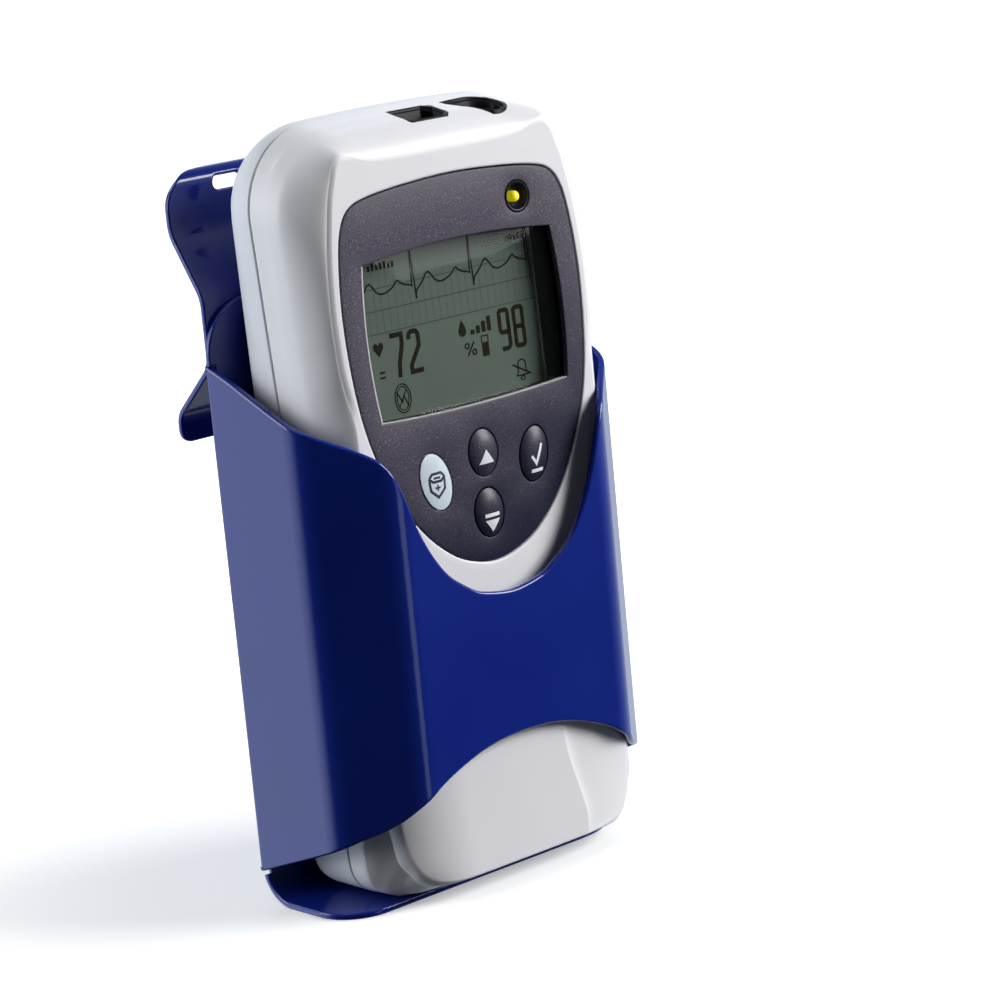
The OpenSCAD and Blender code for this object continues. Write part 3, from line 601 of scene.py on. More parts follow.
def lens_material():
    mat, nt, p, tc = _nodes("clear_lens")
    n = _noise(nt, tc, 40.0, 2.0, 0.5)
    r = _ramp(nt, n.outputs["Fac"], [(0.3, (0.020, 0.026, 0.024)), (0.7, (0.028, 0.034, 0.032))])
    nt.links.new(r.outputs["Color"], p.inputs["Base Color"])
    rr = _range(nt, n.outputs["Fac"], 0.03, 0.06)
    nt.links.new(rr.outputs["Result"], p.inputs["Roughness"])
    p.inputs["Alpha"].default_value = 0.08
    p.inputs["Specular IOR Level"].default_value = 0.5
    return mat


M["lens"] = lens_material()

# ------------------------------------------------------------------ shared outlines
bezel_half = [(0, 167.2), (14, 166.6), (25, 165.4), (30.6, 163.6), (33.6, 159.4), (35.2, 152), (36.1, 141), (35.8, 129), (34.5, 117.5), (32, 107.5), (28, 98.3), (22.8, 90.2), (16.8, 83.8), (9.5, 79), (0, 76.8)]
bezel_loop = smooth_loop(bezel_half + [(-p[0], p[1]) for p in reversed(bezel_half[1:-1])], 8)
WIN_HW, WIN_LOW, WIN_HIGH = 28.9, 114.5, 150.6
WM, WH = (WIN_LOW + WIN_HIGH) / 2, (WIN_HIGH - WIN_LOW) / 2


def window_loop(g, n=24):
    out = [(u * (WIN_HW + g), WIN_HIGH + g + 1.8 * (1 - u * u)) for u in [-1 + 2 * i / n for i in range(n + 1)]]
    out += [(WIN_HW + g + 1.3 * (1 - u * u), WM + u * (WH + g)) for u in [1 - 2 * i / n for i in range(1, n)]]
    out += [(u * (WIN_HW + g), WIN_LOW - g - 1.0 * (1 - u * u)) for u in [1 - 2 * i / n for i in range(n + 1)]]
    out += [(-WIN_HW - g - 1.3 * (1 - u * u), WM + u * (WH + g)) for u in [-1 + 2 * i / n for i in range(1, n)]]
    return out


KEYS = {"nurse": (-15.5, 98.4, 4.3, 6.8, 14), "select": (15.3, 98.8, 4.2, 6.4, -14), "up": (-0.2, 102.2, 4.3, 5.4, 0), "down": (-0.6, 88.1, 4.3, 5.6, 0)}
WELL = (20.0, 158.9, 3.7)


def key_loop(k, g, n=96):
    return ell(k[0], k[1], k[2] + g, k[3] + g, k[4], n)


a_t, a_b, c_top, c_bot, c_r = 44.5, 41.0, 183.8, 2.25, 20.0
SEAM = 18.25
front_slices = [(18.25, a_t, a_b, c_top - 0.2, c_bot + 0.87, c_r, 9), (10, a_t - 0.4, a_b - 0.8, c_top - 2.4, c_bot + 0.6, c_r - 1, 9),
                (5, a_t - 2.2, a_b - 4.6, c_top - 4.0, c_bot + 1.3, c_r - 2, 8), (2, a_t - 4.2, a_b - 9.0, c_top - 5.6, c_bot + 3.6, c_r - 3, 8),
                (0.9, a_t - 5.1, a_b - 15, c_top - 6.8, c_bot + 6.5, c_r - 4, 7), (0, a_t - 5.9, a_b - 12, c_top - 8.6, 60, c_r - 5, 7)]

# ------------------------------------------------------------------ front shell of the case
CX, CZ = 0.0, 125.0


def build_case_front():
    outer = np.array(case_outline(a_t, a_b, c_top - 0.2, c_bot + 0.87, c_r, 9, 40))
    # columns: one per outline point, closer together at the foot
    dense = resample(outer, 0.05)
    seg = np.linalg.norm(np.roll(dense, -1, 0) - dense, axis=1)
    want = np.where((dense[:, 1] < 12) & (np.abs(dense[:, 0]) < 26) & (np.abs(dense[:, 0]) > 10), 0.34,
                    np.where(dense[:, 1] < 14, 0.6, np.where(dense[:, 1] > 160, 0.75, 1.1)))
    load = np.cumsum(seg / want)
    n = int(load[-1])
    idx = np.searchsorted(load, np.arange(n) * load[-1] / n)
    cols = dense[np.clip(idx, 0, len(dense) - 1)]
    phis = np.arctan2(cols[:, 1] - CZ, cols[:, 0] - CX)
    order = np.argsort(phis)
    cols, phis = cols[order], phis[order]
    dirs = np.stack([np.cos(phis), np.sin(phis)], 1)
    deg = np.degrees(phis)
    # radii of the CAD slices along each column
    sl = [(s[0], ray_radius(case_outline(*s[1:], 40), CX, CZ, phis)) for s in reversed(front_slices)]
    ys = [s[0] for s in sl]
    rs = np.array([s[1] for s in sl])
    r_out = rs[-1]
    r_bez = ray_radius([tuple(p) for p in loop_offset(bezel_loop, 0.28)], CX, CZ, phis)
    # the line where the flat face ends
    half = [(0.0, 172.6), (12, 172.6), (22, 173.2), (27.5, 174.9), (30.9, 175.9), (33.1, 174.3), (34.8, 169.9), (36.2, 165.0), (38.2, 153.5), (39.1, 141.3), (39.0, 132), (38.5, 126), (36.9, 117), (36.6, 108), (36.6, 95),
            (36.4, 75), (36.1, 55), (35.7, 35), (35.0, 20), (33.2, 11.5), (29.5, 7.2), (24, 5.6), (16, 5.3), (0, 5.2)]
    half = smooth(half, 6)
    loop = half + [(-p[0], p[1]) for p in reversed(half[1:-1])]
    r_c = ray_radius(loop, CX, CZ, phis)
    absd = np.abs(np.where(deg > 90, 180 - deg, np.where(deg < -90, -180 - deg, deg)))
    signed = np.where(deg > 90, 180 - deg, np.where(deg < -90, -180 - deg, deg))     # -90 (foot) .. 90 (crown)
    w_side = 1 - sstep(56, 68, signed)
    # depth over which the edge rounds into the side
    b = np.interp(signed, [-90, -74, -68, -60, -40, 0, 50, 90], [3.2, 3.4, 6.0, 8.5, 9.5, 9.5, 9.5, 9.0])
    step = 0.55 * sstep(-16, -2, signed) * (1 - sstep(54, 62, signed))                # height of the rolled step at the upper line
    rings = []                                                                        # each: (r, depth)
    # inner face first, from the seam forward
    inner_floor = 4.2
    win = ray_radius([(-32.4, 111.0), (32.4, 111.0), (32.4, 154.4), (-32.4, 154.4)], CX, CZ, phis)
    inner = [(SEAM - 0.02, r_out - 2.1), (12.0, r_out - 2.3), (8.0, r_out - 3.4), (6.0, r_out - 5.4), (5.3, r_out - 8.0)]
    for y, r in inner:
        rings.append((r, np.full(n, y)))
    r_pocket_in = np.minimum(r_bez - 0.1, r_out - 8.5)
    rings.append((np.minimum(r_pocket_in + 1.0, r_out - 8.4), np.full(n, 5.2)))
    rings.append((win, np.full(n, 5.2)))
    rings.append((win, np.full(n, inner_floor)))
    rings.append((r_bez - 0.02, np.full(n, inner_floor)))
    # pocket wall up to the face, with a rounded lip
    rings.append((r_bez, np.full(n, 1.9)))
    for ins, y in ((0.0, 0.50), (0.06, 0.28), (0.18, 0.12), (0.34, 0.03), (0.52, 0.0)):
        rings.append((r_bez + ins, np.full(n, y)))
    pl_start = len(rings)
    # flat face out to the line
    lip = r_bez + 0.52
    s_list = list(np.linspace(0.0, 0.53, 26))[1:] + list(np.linspace(0.53, 1.0, 58))[1:]
    for s in s_list:
        rings.append((lip + (r_c - lip) * s, np.zeros(n)))
    pl_end = len(rings)
    # rolled step just inside the line
    for j in range(pl_start, pl_end):
        r, y = rings[j]
        d = r_c - r
        rings[j] = (r, step * np.clip(1 - d / 1.35, 0, 1) ** 1.6)
    # rounding into the side: nearly a chamfer with soft ends along the sides, rounder at the crown and the foot
    ex = 1 + 0.42 * sstep(-62, -34, signed) * (1 - sstep(54, 68, signed))
    r_b = np.array([pchip(ys, rs[:, [i]], b[i])[0, 0] for i in range(n)])
    for t in (5, 12, 20, 29, 38, 47, 56, 65, 74, 82, 90):
        a = math.radians(t)
        y = b * (1 - max(math.cos(a), 0.0) ** ex)
        r_k = r_c + (r_b - r_c) * math.sin(a) ** ex
        a2 = math.radians(t * 75 / 90)
        r_top = r_c + (r_b - r_c) * math.sin(a2) / math.sin(math.radians(75))
        y_top = b * (1 - math.cos(a2)) / (1 - math.cos(math.radians(75)))
        rings.append((w_side * r_k + (1 - w_side) * r_top, step * (1 - t / 90) + w_side * y + (1 - w_side) * y_top))
    # side wall back to the seam with a fine groove
    for u in (0.2, 0.4):
        y = b + (12.9 - b) * u / 0.6
        rings.append((np.array([pchip(ys, rs[:, [i]], y[i])[0, 0] for i in range(n)]), y))
    r13 = pchip(ys, rs, 13.4)[0]
    g = 0.28 * (1 - sstep(-56, -40, signed)) * sstep(-86, -70, signed)
    for y, k in ((13.0, 0.0), (13.14, 0.25), (13.24, 1.0), (13.44, 1.0), (13.54, 0.25), (13.7, 0.0)):
        rings.append((r13 - g * k, np.full(n, y)))
    for y in (15.5, 17.4, 17.9):
        rings.append((pchip(ys, rs, y)[0], np.full(n, y)))
    for ins, y in ((0.04, 18.05), (0.14, 18.17), (0.3, 18.23), (0.5, SEAM)):
        rings.append((r_out - ins, np.full(n, y)))
    rings.append((r_out - 2.1, np.full(n, SEAM)))
    Rr = np.array([r for r, y in rings])
    Y = np.array([y for r, y in rings])
    X = CX + Rr * dirs[None, :, 0]
    Z = CZ + Rr * dirs[None, :, 1]
    # tail of the line at the foot: bring one column of the right side onto it, then scoop the surface outside it
    tail = np.array(smooth([(36.8, 117), (33.6, 100), (27.5, 80), (20.6, 60), (15.6, 45), (13.9, 34), (14.6, 25), (16.8, 16.5), (18.1, 11), (18.0, 6.5), (17.2, 3.4)], 10))
    tz, tx = tail[::-1, 1], tail[::-1, 0]
    xc_of = lambda z: np.interp(z, tz, tx)
    for sgn in (1,):
        k = int(np.argmin(np.where(cols[:, 1] < 10, np.abs(cols[:, 0] - sgn * 17.4), 1e9)))
        for j in range(pl_start, pl_end + 4):
            z = Z[j, k]
            if z > 60:
                continue
            dx = sgn * xc_of(z) - X[j, k]
            fade = 1 - sstep(44, 58, z)
            near = np.exp(-((cols[:, 0] - cols[k, 0]) / 6.0) ** 2) * (cols[:, 1] < 40)
            near = np.where(np.sign(cols[:, 0]) == sgn, near, 0)
            X[j] += dx * near * fade
    on = np.zeros(len(rings), bool)
    on[pl_start:pl_end + 11] = True
    ax = np.abs(X)
    xl = xc_of(Z)
    slope = np.gradient(tx, tz)
    sl_at = np.interp(Z, tz, slope)
    d = (ax - xl) / np.sqrt(1 + sl_at ** 2)
    d = np.where(Z < 118, d, -1)
    amp = 1.15 * (1 - sstep(24, 60, Z)) + 0.45 * sstep(24, 60, Z) * (1 - sstep(95, 117, Z))
    amp = amp * sstep(1.5, 7, Z) * np.where(X > 0, 0.72, 1.0)
    scoop = np.where(d > 0, amp * (1 - np.exp(-np.maximum(d, 0) / 1.9)), 0)
    # the left foot has no crease: the same depth comes in softly
    keep = np.where(X < 0, sstep(62, 104, Z), 1.0)
    scoop = scoop * keep + (1 - keep) * amp * 1.15 * sstep(17, 34, ax)
    shoulder = 4.2 * (1 - sstep(2, 46, Z)) * np.clip((ax - 19) / 19, 0, 1.2) ** 2
    fadeside = np.ones_like(X)
    # fade the extra depth out over the rounding so that the side wall stays put
    for q, t in enumerate((5, 12, 20, 29, 38, 47, 56, 65, 74, 82, 90)):
        fadeside[pl_end + q] = math.cos(math.radians(t)) ** 1.2 if t < 90 else 0.0
    add = (scoop + shoulder) * fadeside
    # the left foot runs round to the side in one bulge, a quarter ellipse from the face to the seam
    low = (cols[:, 1] < 112) & (cols[:, 0] < -30)
    x13, z13 = -(CX + r13 * dirs[:, 0])[low], (CZ + r13 * dirs[:, 1])[low]
    o13 = np.argsort(z13)
    xs = np.maximum(np.interp(Z, z13[o13], x13[o13]), 38.2)
    deep = 13.0 * (1 - np.sqrt(1 - np.clip((ax - 18) / (xs - 18), 0, 1) ** 2))
    corner = 1 - sstep(-72, -60, signed)[None, :]
    wrapped = deep + corner * Y * (13.0 - deep) / 13.0
    front = (np.arange(len(Y)) >= pl_start)[:, None] & (Y < 13.0)
    # the inside of the shell stays behind the outside there
    inside = (np.arange(len(Y)) < 6)[:, None] & (X < -10)
    Y = np.where(inside, np.maximum(Y, np.minimum((1 - keep) * (deep + 2.0 + 5.0 * corner), SEAM - 0.02)), Y)
    Y = np.where(front, keep * (Y + np.where(on[:, None], add, 0)) + (1 - keep) * wrapped, Y)
    pts = np.stack([X, Y, Z], -1)
    world = Farr(pts)
    L = len(rings)
    faces = []
    for j in range(L):
        a, c = j * n, ((j + 1) % L) * n
        for i in range(n):
            k = (i + 1) % n
            faces.append((a + i, a + k, c + k, c + i))
    return world.reshape(-1, 3), faces


v, f = build_case_front()
case_front = make("case_front", v, f, M["pearl"], "monitor", "case_pearl", ["front_housing"], sharp=38)

ECG = (1.5, 9.6)
SPO = (18.6, 9.4)


def ecg_plan(g):
    c = [(-6.6 - g, 4.6 + g), (4.6 + g, 4.6 + g), (6.6 + g, 2.6 + g), (6.6 + g, -2.6 - g), (4.6 + g, -4.6 - g), (-6.6 - g, -4.6 - g)]
    return round_poly([(p[0] + ECG[0], p[1] + ECG[1]) for p in c], 1.1 + max(g, -0.8))


def spo_plan(g):
    r = 6.2 + g
    c = arc(SPO[0] + 1.5, SPO[1] - 0.1, r, 96, -104, 40)
    c += arc(SPO[0] - 5.0, SPO[1] + 3.7, 1.9 + g, -132, -230, 10)
    return c


def round_poly(P, r, n=6):
    P = [np.array(p, float) for p in P]
    out = []
    for i in range(len(P)):
        a, bb, c = P[i - 1], P[i], P[(i + 1) % len(P)]
        rr = min(r, 0.45 * np.linalg.norm(a - bb), 0.45 * np.linalg.norm(c - bb))
        out += [tuple(q) for q in bend(a, bb, c, rr * 0.8, n)]
    return out


def top_height(x, yp):
    """Height of the sloping top plane at a place of the face frame."""
    return c_top - 2.55 - CROWN + math.sqrt(CROWN * CROWN - x * x) + (yp - 9.6) * math.tan(math.radians(15.2))


def vprism(plan, z0, z1):
    P = np.array(plan, float)
    r0 = Farr(np.stack([P[:, 0], P[:, 1], np.full(len(P), z0)], 1))
    r1 = Farr(np.stack([P[:, 0], P[:, 1], np.full(len(P), z1)], 1))
    return loft([r0, r1], cap0=True, cap1=True)


for nm, plan in (("ecg", ecg_plan(0.12)), ("spo", spo_plan(0.12))):
    v, f = vprism(plan, 170, 200)
    cut(case_front, raw("cut_" + nm, v, f))
v, f = prism(ell(WELL[0], WELL[1], WELL[2] + 0.2, WELL[2] + 0.2, 0, 48), 3.0, 7.0, lambda x, y, z: F(x, y, z))
cut(case_front, raw("cut_well", v, f))
tidy(case_front, 38)


# ------------------------------------------------------------------ sockets in the top edge
def socket(name, plan_fn, wall, body_slot, node, contacts):
    rings = []

    def ring(g, dz, fixed=None):
        P = np.array(plan_fn(g), float)
        Zt = np.array([top_height(p[0], p[1]) for p in P]) + dz if fixed is None else np.full(len(P), fixed)
        return Farr(np.stack([P[:, 0], P[:, 1], Zt], 1))

    rings = [ring(0, 0, 165.0), ring(0, -0.35), ring(-0.06, -0.12), ring(-0.22, 0.0), ring(-0.45, 0.04), ring(-0.62, -0.02), ring(-0.75, -0.18),
             ring(-0.80, -0.5), ring(-wall + 0.12, -0.55), ring(-wall, -0.7), ring(-wall, -6.0), ring(-wall, 0, 168.3)]
    n = min(len(r) for r in rings)
    v, f = loft(rings, cap0=True, cap1=True)
    ob = make(name, v, f, M["sock"], "monitor", body_slot, [node], sharp=40)
    return ob


ecg_socket = socket("ecg_socket_shell", ecg_plan, 1.3, "black_plastic", "ecg_socket", None)
spo_socket = socket("spo_socket_shell", spo_plan, 1.6, "black_plastic", "spo2_socket", None)


def pin(x, y, z0, z1, w=0.8):
    r = []
    for s, z in ((0.5, z0), (0.5, z1 - 0.35), (0.3, z1 - 0.1), (0.12, z1)):
        r.append(Farr(np.array([(x - w * s, y - w * s, z), (x + w * s, y - w * s, z), (x + w * s, y + w * s, z), (x - w * s, y + w * s, z)])))
    return loft(r, cap0=True, cap1=True)


geo = [pin(ECG[0] - 4 + 2 * i, ECG[1], 168.2, 174.5) for i in range(5)]
make("ecg_pins", *join_geo(*geo), M["brass"], "monitor", "contact_brass", ["ecg_contacts"])
geo = [pin(SPO[0] - 4 + 2.2 * i, SPO[1] + 1.3 * j, 168.2, 174.5) for i in range(4) for j in (-1, 1)]
make("spo_pins", *join_geo(*geo), M["brass"], "monitor", "contact_brass", ["spo2_contacts"])
# contact blocks standing in the sockets
for nm, plan_fn, c in (("ecg_tongue", ecg_plan, ECG), ("spo_tongue", spo_plan, SPO)):
    hw_, hd_ = (4.6, 1.2) if nm[0] == "e" else (4.4, 2.3)
    rr = []
    for g, z in ((0, 168.2), (0, 173.2), (-0.15, 173.55), (-0.4, 173.7)):
        P = round_poly([(c[0] - hw_ - g, c[1] - hd_ - g), (c[0] + hw_ + g, c[1] - hd_ - g), (c[0] + hw_ + g, c[1] + hd_ + g), (c[0] - hw_ - g, c[1] + hd_ + g)], 0.8)
        rr.append(Farr(np.array([(p[0], p[1], z) for p in P])))
    v, f = loft(rr, cap0=True, cap1=True)
    make(nm, v, f, M["sock"], "monitor", "black_plastic")

# ------------------------------------------------------------------ rear shell
REAR_C = 95.0


def build_case_rear():
    N = 420
    outer = np.array(case_outline(a_t, a_b, c_top - 0.2, c_bot + 0.9, c_r, 9, 40))
    dense = resample(outer, 0.2)
    L = np.concatenate([[0], np.cumsum(np.linalg.norm(np.diff(np.concatenate([dense, dense[:1]]), axis=0), axis=1))])
    ii = np.searchsorted(L, np.arange(N) * L[-1] / N)
    pts = dense[np.clip(ii, 0, len(dense) - 1)]
    phis = np.arctan2(pts[:, 1] - REAR_C, pts[:, 0])
    phis = np.sort(phis)
    d = np.stack([np.cos(phis), np.sin(phis)], 1)

    def ring(y, wt, wb, top, bot, rt, rb, local=False, ins=0.0):
        r = ray_radius(case_outline(wt, wb, top, bot, rt, rb, 40), 0, REAR_C, phis) - ins
        P = np.stack([r * d[:, 0], np.full(N, y), REAR_C + r * d[:, 1]], 1)
        return Farr(P) if local else P

    seam = lambda ins, dy: ring(18.75 + dy, a_t, a_b, c_top - 0.2, c_bot + 0.9, c_r, 9, True, ins)
    keys = [(8.0, a_t - 0.1, a_b - 0.1, c_top - 1.0, c_bot, c_r, 9), (12.0, a_t - 1.2, a_b - 1.2, c_top - 2.2, c_bot + 1.0, c_r - 1, 8),
            (15.0, a_t - 3.6, a_b - 3.6, c_top - 4.8, c_bot + 3.4, c_r - 4, 7), (17.0, a_t - 8, a_b - 8, c_top - 9, c_bot + 7.8, c_r - 7, 5)]
    K = [ring(*k) for k in keys]
    s0 = seam(0, 0)
    rings = [seam(2.1, 0.0), seam(0.5, 0.0), seam(0.3, 0.02), seam(0.14, 0.08), seam(0.04, 0.2), seam(0, 0.4)]
    ctrl = [s0] + K
    # smooth columns through the slices
    cc = np.array(ctrl)
    for j in range(len(ctrl) - 1):
        a0, b0, c0, d0 = cc[max(j - 1, 0)], cc[j], cc[j + 1], cc[min(j + 2, len(ctrl) - 1)]
        nsub = 3 if j == 0 else 6
        for q in range(1, nsub + 1):
            u = q / nsub
            if j == len(ctrl) - 2:
                p = b0 + (c0 - b0) * u
                # end on the rear face with a round edge
                p = b0 + np.stack([(c0 - b0)[:, 0] * (1 - math.cos(u * math.pi / 2)) , (c0 - b0)[:, 1] * math.sin(u * math.pi / 2), (c0 - b0)[:, 2] * (1 - math.cos(u * math.pi / 2))], 1) if False else b0 + (c0 - b0) * np.array([[u, 1 - (1 - u) ** 1.7, u]])
            else:
                p = cr(a0, b0, c0, d0, u)
                if j == 0:
                    p = b0 + (c0 - b0) * u
            rings.append(p)
    last = rings[-1]
    n_out = len(rings)
    # inner skin
    inn = [(15.0, a_t - 8.5, a_b - 8.5, c_top - 9.6, c_bot + 8.3, c_r - 8, 4), (11.5, a_t - 3.4, a_b - 3.4, c_top - 4.4, c_bot + 3.2, c_r - 4, 6), (8.0, a_t - 2.2, a_b - 2.2, c_top - 3.1, c_bot + 2.1, c_r - 2, 7)]
    centre_out = np.stack([last[:, 0] * 0.02, np.full(N, 17.0), REAR_C + (last[:, 2] - REAR_C) * 0.02], 1)
    i0 = ring(*inn[0])
    centre_in = np.stack([i0[:, 0] * 0.02, np.full(N, 15.0), REAR_C + (i0[:, 2] - REAR_C) * 0.02], 1)
    V1, F1 = loft(rings + [centre_out], cap1=True)
    V2, F2 = loft([rings[0]] + [ring(*inn[2]), ring(*inn[1]), i0, centre_in], cap1=True)
    return join_geo((V1, F1), (V2, [tuple(reversed(q)) for q in F2]))


v, f = build_case_rear()
case_rear = make("case_rear", v, f, M["pearl_rear"], "monitor", "case_pearl", ["rear_housing"], sharp=38)
SCREWS = [(31, 166), (-31, 166), (36.4, 104), (-36.4, 104), (35, 9.6), (-35, 9.6)]


def rbox(x0, x1, z0, z1, r, n=6):
    return arc(x1 - r, z0 + r, r, -90, 0, n) + arc(x1 - r, z1 - r, r, 0, 90, n) + arc(x0 + r, z1 - r, r, 90, 180, n) + arc(x0 + r, z0 + r, r, 180, 270, n)


cutters = [prism(rbox(-32, 32, 11.6, 98.2, 1.6), 15.15, 20, ident)]
cut(case_rear, raw("cut_door", *join_geo(*cutters)))
cut(case_rear, raw("cut_latch", *prism(rbox(-7.9, 7.9, 97.9, 110.6, 0.9), 14.4, 20, ident)))
holes = [prism(ell(x, z, 2.35, 2.35, 0, 32), 11.4, 20, ident) for x, z in SCREWS]
gx, gz = 14, 157
grille = [(gx, gz)] + [(gx + 3.4 * math.cos(math.radians(60 * i)), gz + 3.4 * math.sin(math.radians(60 * i))) for i in range(6)] + [(gx + 6.6 * math.cos(math.radians(60 * i + 30)), gz + 6.6 * math.sin(math.radians(60 * i + 30))) for i in range(6)]
holes += [prism(ell(x, z, 0.9, 0.9, 0, 20), 12, 20, ident) for x, z in grille]
cut(case_rear, raw("cut_holes", *join_geo(*holes)))
tidy(case_rear, 38)

# screws with a recessed six-lobe drive
for i, (x, z) in enumerate(SCREWS):
    n = 48
    rings = []
    for r, y in ((1.2, 6.0), (1.2, 11.55), (2.0, 11.6), (2.1, 11.75), (2.1, 12.9), (2.0, 13.15), (1.75, 13.3), (1.3, 13.34)):
        rings.append(np.array([(x + r * math.cos(2 * math.pi * k / n), y, z + r * math.sin(2 * math.pi * k / n)) for k in range(n)]))
    for s, y in ((1.0, 13.3), (0.97, 12.5), (0.5, 12.35)):
        rings.append(np.array([(x + s * (0.92 + 0.16 * math.cos(6 * 2 * math.pi * k / n)) * math.cos(2 * math.pi * k / n), y, z + s * (0.92 + 0.16 * math.cos(6 * 2 * math.pi * k / n)) * math.sin(2 * math.pi * k / n)) for k in range(n)]))
    v, f = loft(rings, cap0=True, cap1=True)
    make("case_screw_%d" % i, v, f, M["steel"], "monitor", "screw_steel", ["case_screws"] if i == 0 else ())

# battery door with a rounded edge and grip bars
bm = plate_bm(resample(rbox(-31.8, 31.8, 11.8, 98.0, 1.5), 2.0), [], 1.8, 0.35)
bm_piece("battery_cover", bm, lambda u, v_, w: (u, 17.0 - w, v_), M["pearl_rear"], "monitor", ["battery_door"])
for i in range(5):
    zz = 86.0 + 2.0 * i
    bm = plate_bm(rbox(-9 + 0.6 * abs(i - 2), 9 - 0.6 * abs(i - 2), zz - 0.4, zz + 0.4, 0.39), [], 0.5, 0.18, 2)
    bm_piece("door_grip_%d" % i, bm, lambda u, v_, w: (u, 17.35 - w, v_), M["pearl_rear"], "monitor")
# latch
bm = plate_bm(rbox(-7.5, 7.5, 100, 107.6, 0.9), [], 2.0, 0.3)
bm_piece("latch_slider", bm, lambda u, v_, w: (u, 16.7 - w, v_), M["latch"], "latch", ["battery_latch"])
bm = plate_bm(rbox(-4, 4, 96.7, 100.3, 0.5), [], 0.8, 0.15)
bm_piece("latch_tongue", bm, lambda u, v_, w: (u, 16.0 - w, v_), M["latch"], "latch")
for i in range(4):
    z0 = 101.75 + 1.5 * i
    bm = plate_bm(rbox(-5.2, 5.2, z0 - 0.35, z0 + 0.35, 0.34), [], 0.6, 0.2, 2)
    bm_piece("latch_rib_%d" % i, bm, lambda u, v_, w: (u, 17.0 - w, v_), M["latch"], "latch")
# bare label
bm = plate_bm(rbox(-22, 22, 34, 70, 1.5), [], 0.15, 0.05, 2)
bm_piece("bare_label", bm, lambda u, v_, w: (u, 17.15 - w, v_), M["label"], "monitor", ["rear_label"])

# ------------------------------------------------------------------ fascia
holes = [loop_offset(window_loop(0), 0.0)] + [key_loop(k, 0.3) for k in KEYS.values()] + [ell(WELL[0], WELL[1], WELL[2] + 0.1, WELL[2] + 0.1, 0, 64)]
bm = plate_bm(bezel_loop, holes, 1.5, 0.32, 4)
bm_piece("fascia_plate", bm, lambda u, v_, w: F(u, 0.15 + w, v_), M["fascia"], "monitor", ["front_bezel"], sharp=40)

# display lens, set into the fascia
bm = plate_bm(resample(rbox(-33.1, 33.1, 110.8, 154.6, 1.5), 4.0), [], 1.0, 0.15, 2)
bm_piece("display_lens", bm, lambda u, v_, w: F(u, 1.8 + w, v_), M["lens"], "monitor", ["display_window"])


def strip(loop_a, ya, loop_b, yb, fn=F, closed=True):
    """Ribbon between two outlines (x, z) at two depths."""
    a = np.array([fn(p[0], ya, p[1]) for p in loop_a])
    b_ = np.array([fn(p[0], yb, p[1]) for p in loop_b])
    return loft([a, b_], closed=closed)


def edge_ring(lo, hi, w, y0, y1, name, mat, slot):
    """Thin closed bar that follows part of the window's outline: points lo..hi of the loop."""
    P = np.array(window_loop(0.0, 24))
    n = len(P)
    ids = [i % n for i in range(lo, hi + 1)]
    Q0 = loop_offset(P, 0.02)[ids]
    Q1 = loop_offset(P, -w)[ids]
    a = np.array([F(p[0], y0, p[1]) for p in Q0])
    b_ = np.array([F(p[0], y0, p[1]) for p in Q1])
    c = np.array([F(p[0], y1, p[1]) for p in Q1])
    d = np.array([F(p[0], y1, p[1]) for p in Q0])
    rr = [np.array([a[i], b_[i], c[i], d[i]]) for i in range(len(ids))]
    v, f = loft(rr, cap0=True, cap1=True)
    return make(name, v, f, mat, "monitor", slot)


# window edge: indices 0-24 top, 25-47 right side, 48-72 bottom, 73-95 left side
# painted light: a pale bar on the window's lower wall, where light from above falls, and a painted highlight along the
# left edge
edge_ring(48, 72, 0.12, 0.35, 1.78, "window_sill_painted_light", M["rimlight"], "clear_lens")
edge_ring(72, 96, 0.30, 0.30, 1.0, "window_left_edge_painted_highlight", M["rimlight"], "clear_lens")

# display tray: sloping walls down to the glass
W0 = loop_offset(window_loop(0.2), 0.0)
tray = []
for y, g in ((2.86, 2.6), (2.86, 0.25), (2.95, 0.2), (6.28, 0.2)):
    tray.append(np.array([F(p[0], y, p[1]) for p in loop_offset(window_loop(0), g)]))
v, f = loft(tray)
make("display_tray", v, f, M["matt_black"], "monitor", "black_plastic", ["lcd_frame"])

# display glass with a bright line along its right edge
NODES["lcd_panel"].data.materials.clear()
bm = plate_bm(rbox(-29.3, 27.4, 112.2, 152.9, 0.3), [], 1.9, 0.05, 1)
bm_piece("display_panel", bm, lambda u, v_, w: F(u, 6.3 + w, v_), M["lcd"], "monitor", ["lcd_panel"])


# ------------------------------------------------------------------ flat printed shapes
def stroke(P, w, closed=False):
    """Flat ribbon of width w along a line of (x, z) points."""
    P = np.array(P, float)
    n = len(P)
    L, Rr_ = [], []
    for i in range(n):
        if closed:
            a, b_, c = P[i - 1], P[i], P[(i + 1) % n]
        else:
            a, b_, c = P[max(i - 1, 0)], P[i], P[min(i + 1, n - 1)]
        u = b_ - a if np.linalg.norm(b_ - a) > 1e-9 else c - b_
        v_ = c - b_ if np.linalg.norm(c - b_) > 1e-9 else u
        u, v_ = unit(u), unit(v_)
        s = u + v_
        s = unit(s) if np.linalg.norm(s) > 0.3 else u
        k = max(float(s @ u), 0.45)
        nn = np.array((-s[1], s[0])) * (w / 2) / k
        L.append(b_ + nn)
        Rr_.append(b_ - nn)
    pts = L + Rr_
    faces = [(i, i + 1, n + i + 1, n + i) for i in range(n - 1)]
    if closed:
        faces.append((n - 1, 0, n, 2 * n - 1))
    return np.array(pts), faces


def blob(P):
    return np.array(P, float), [tuple(range(len(P)))]


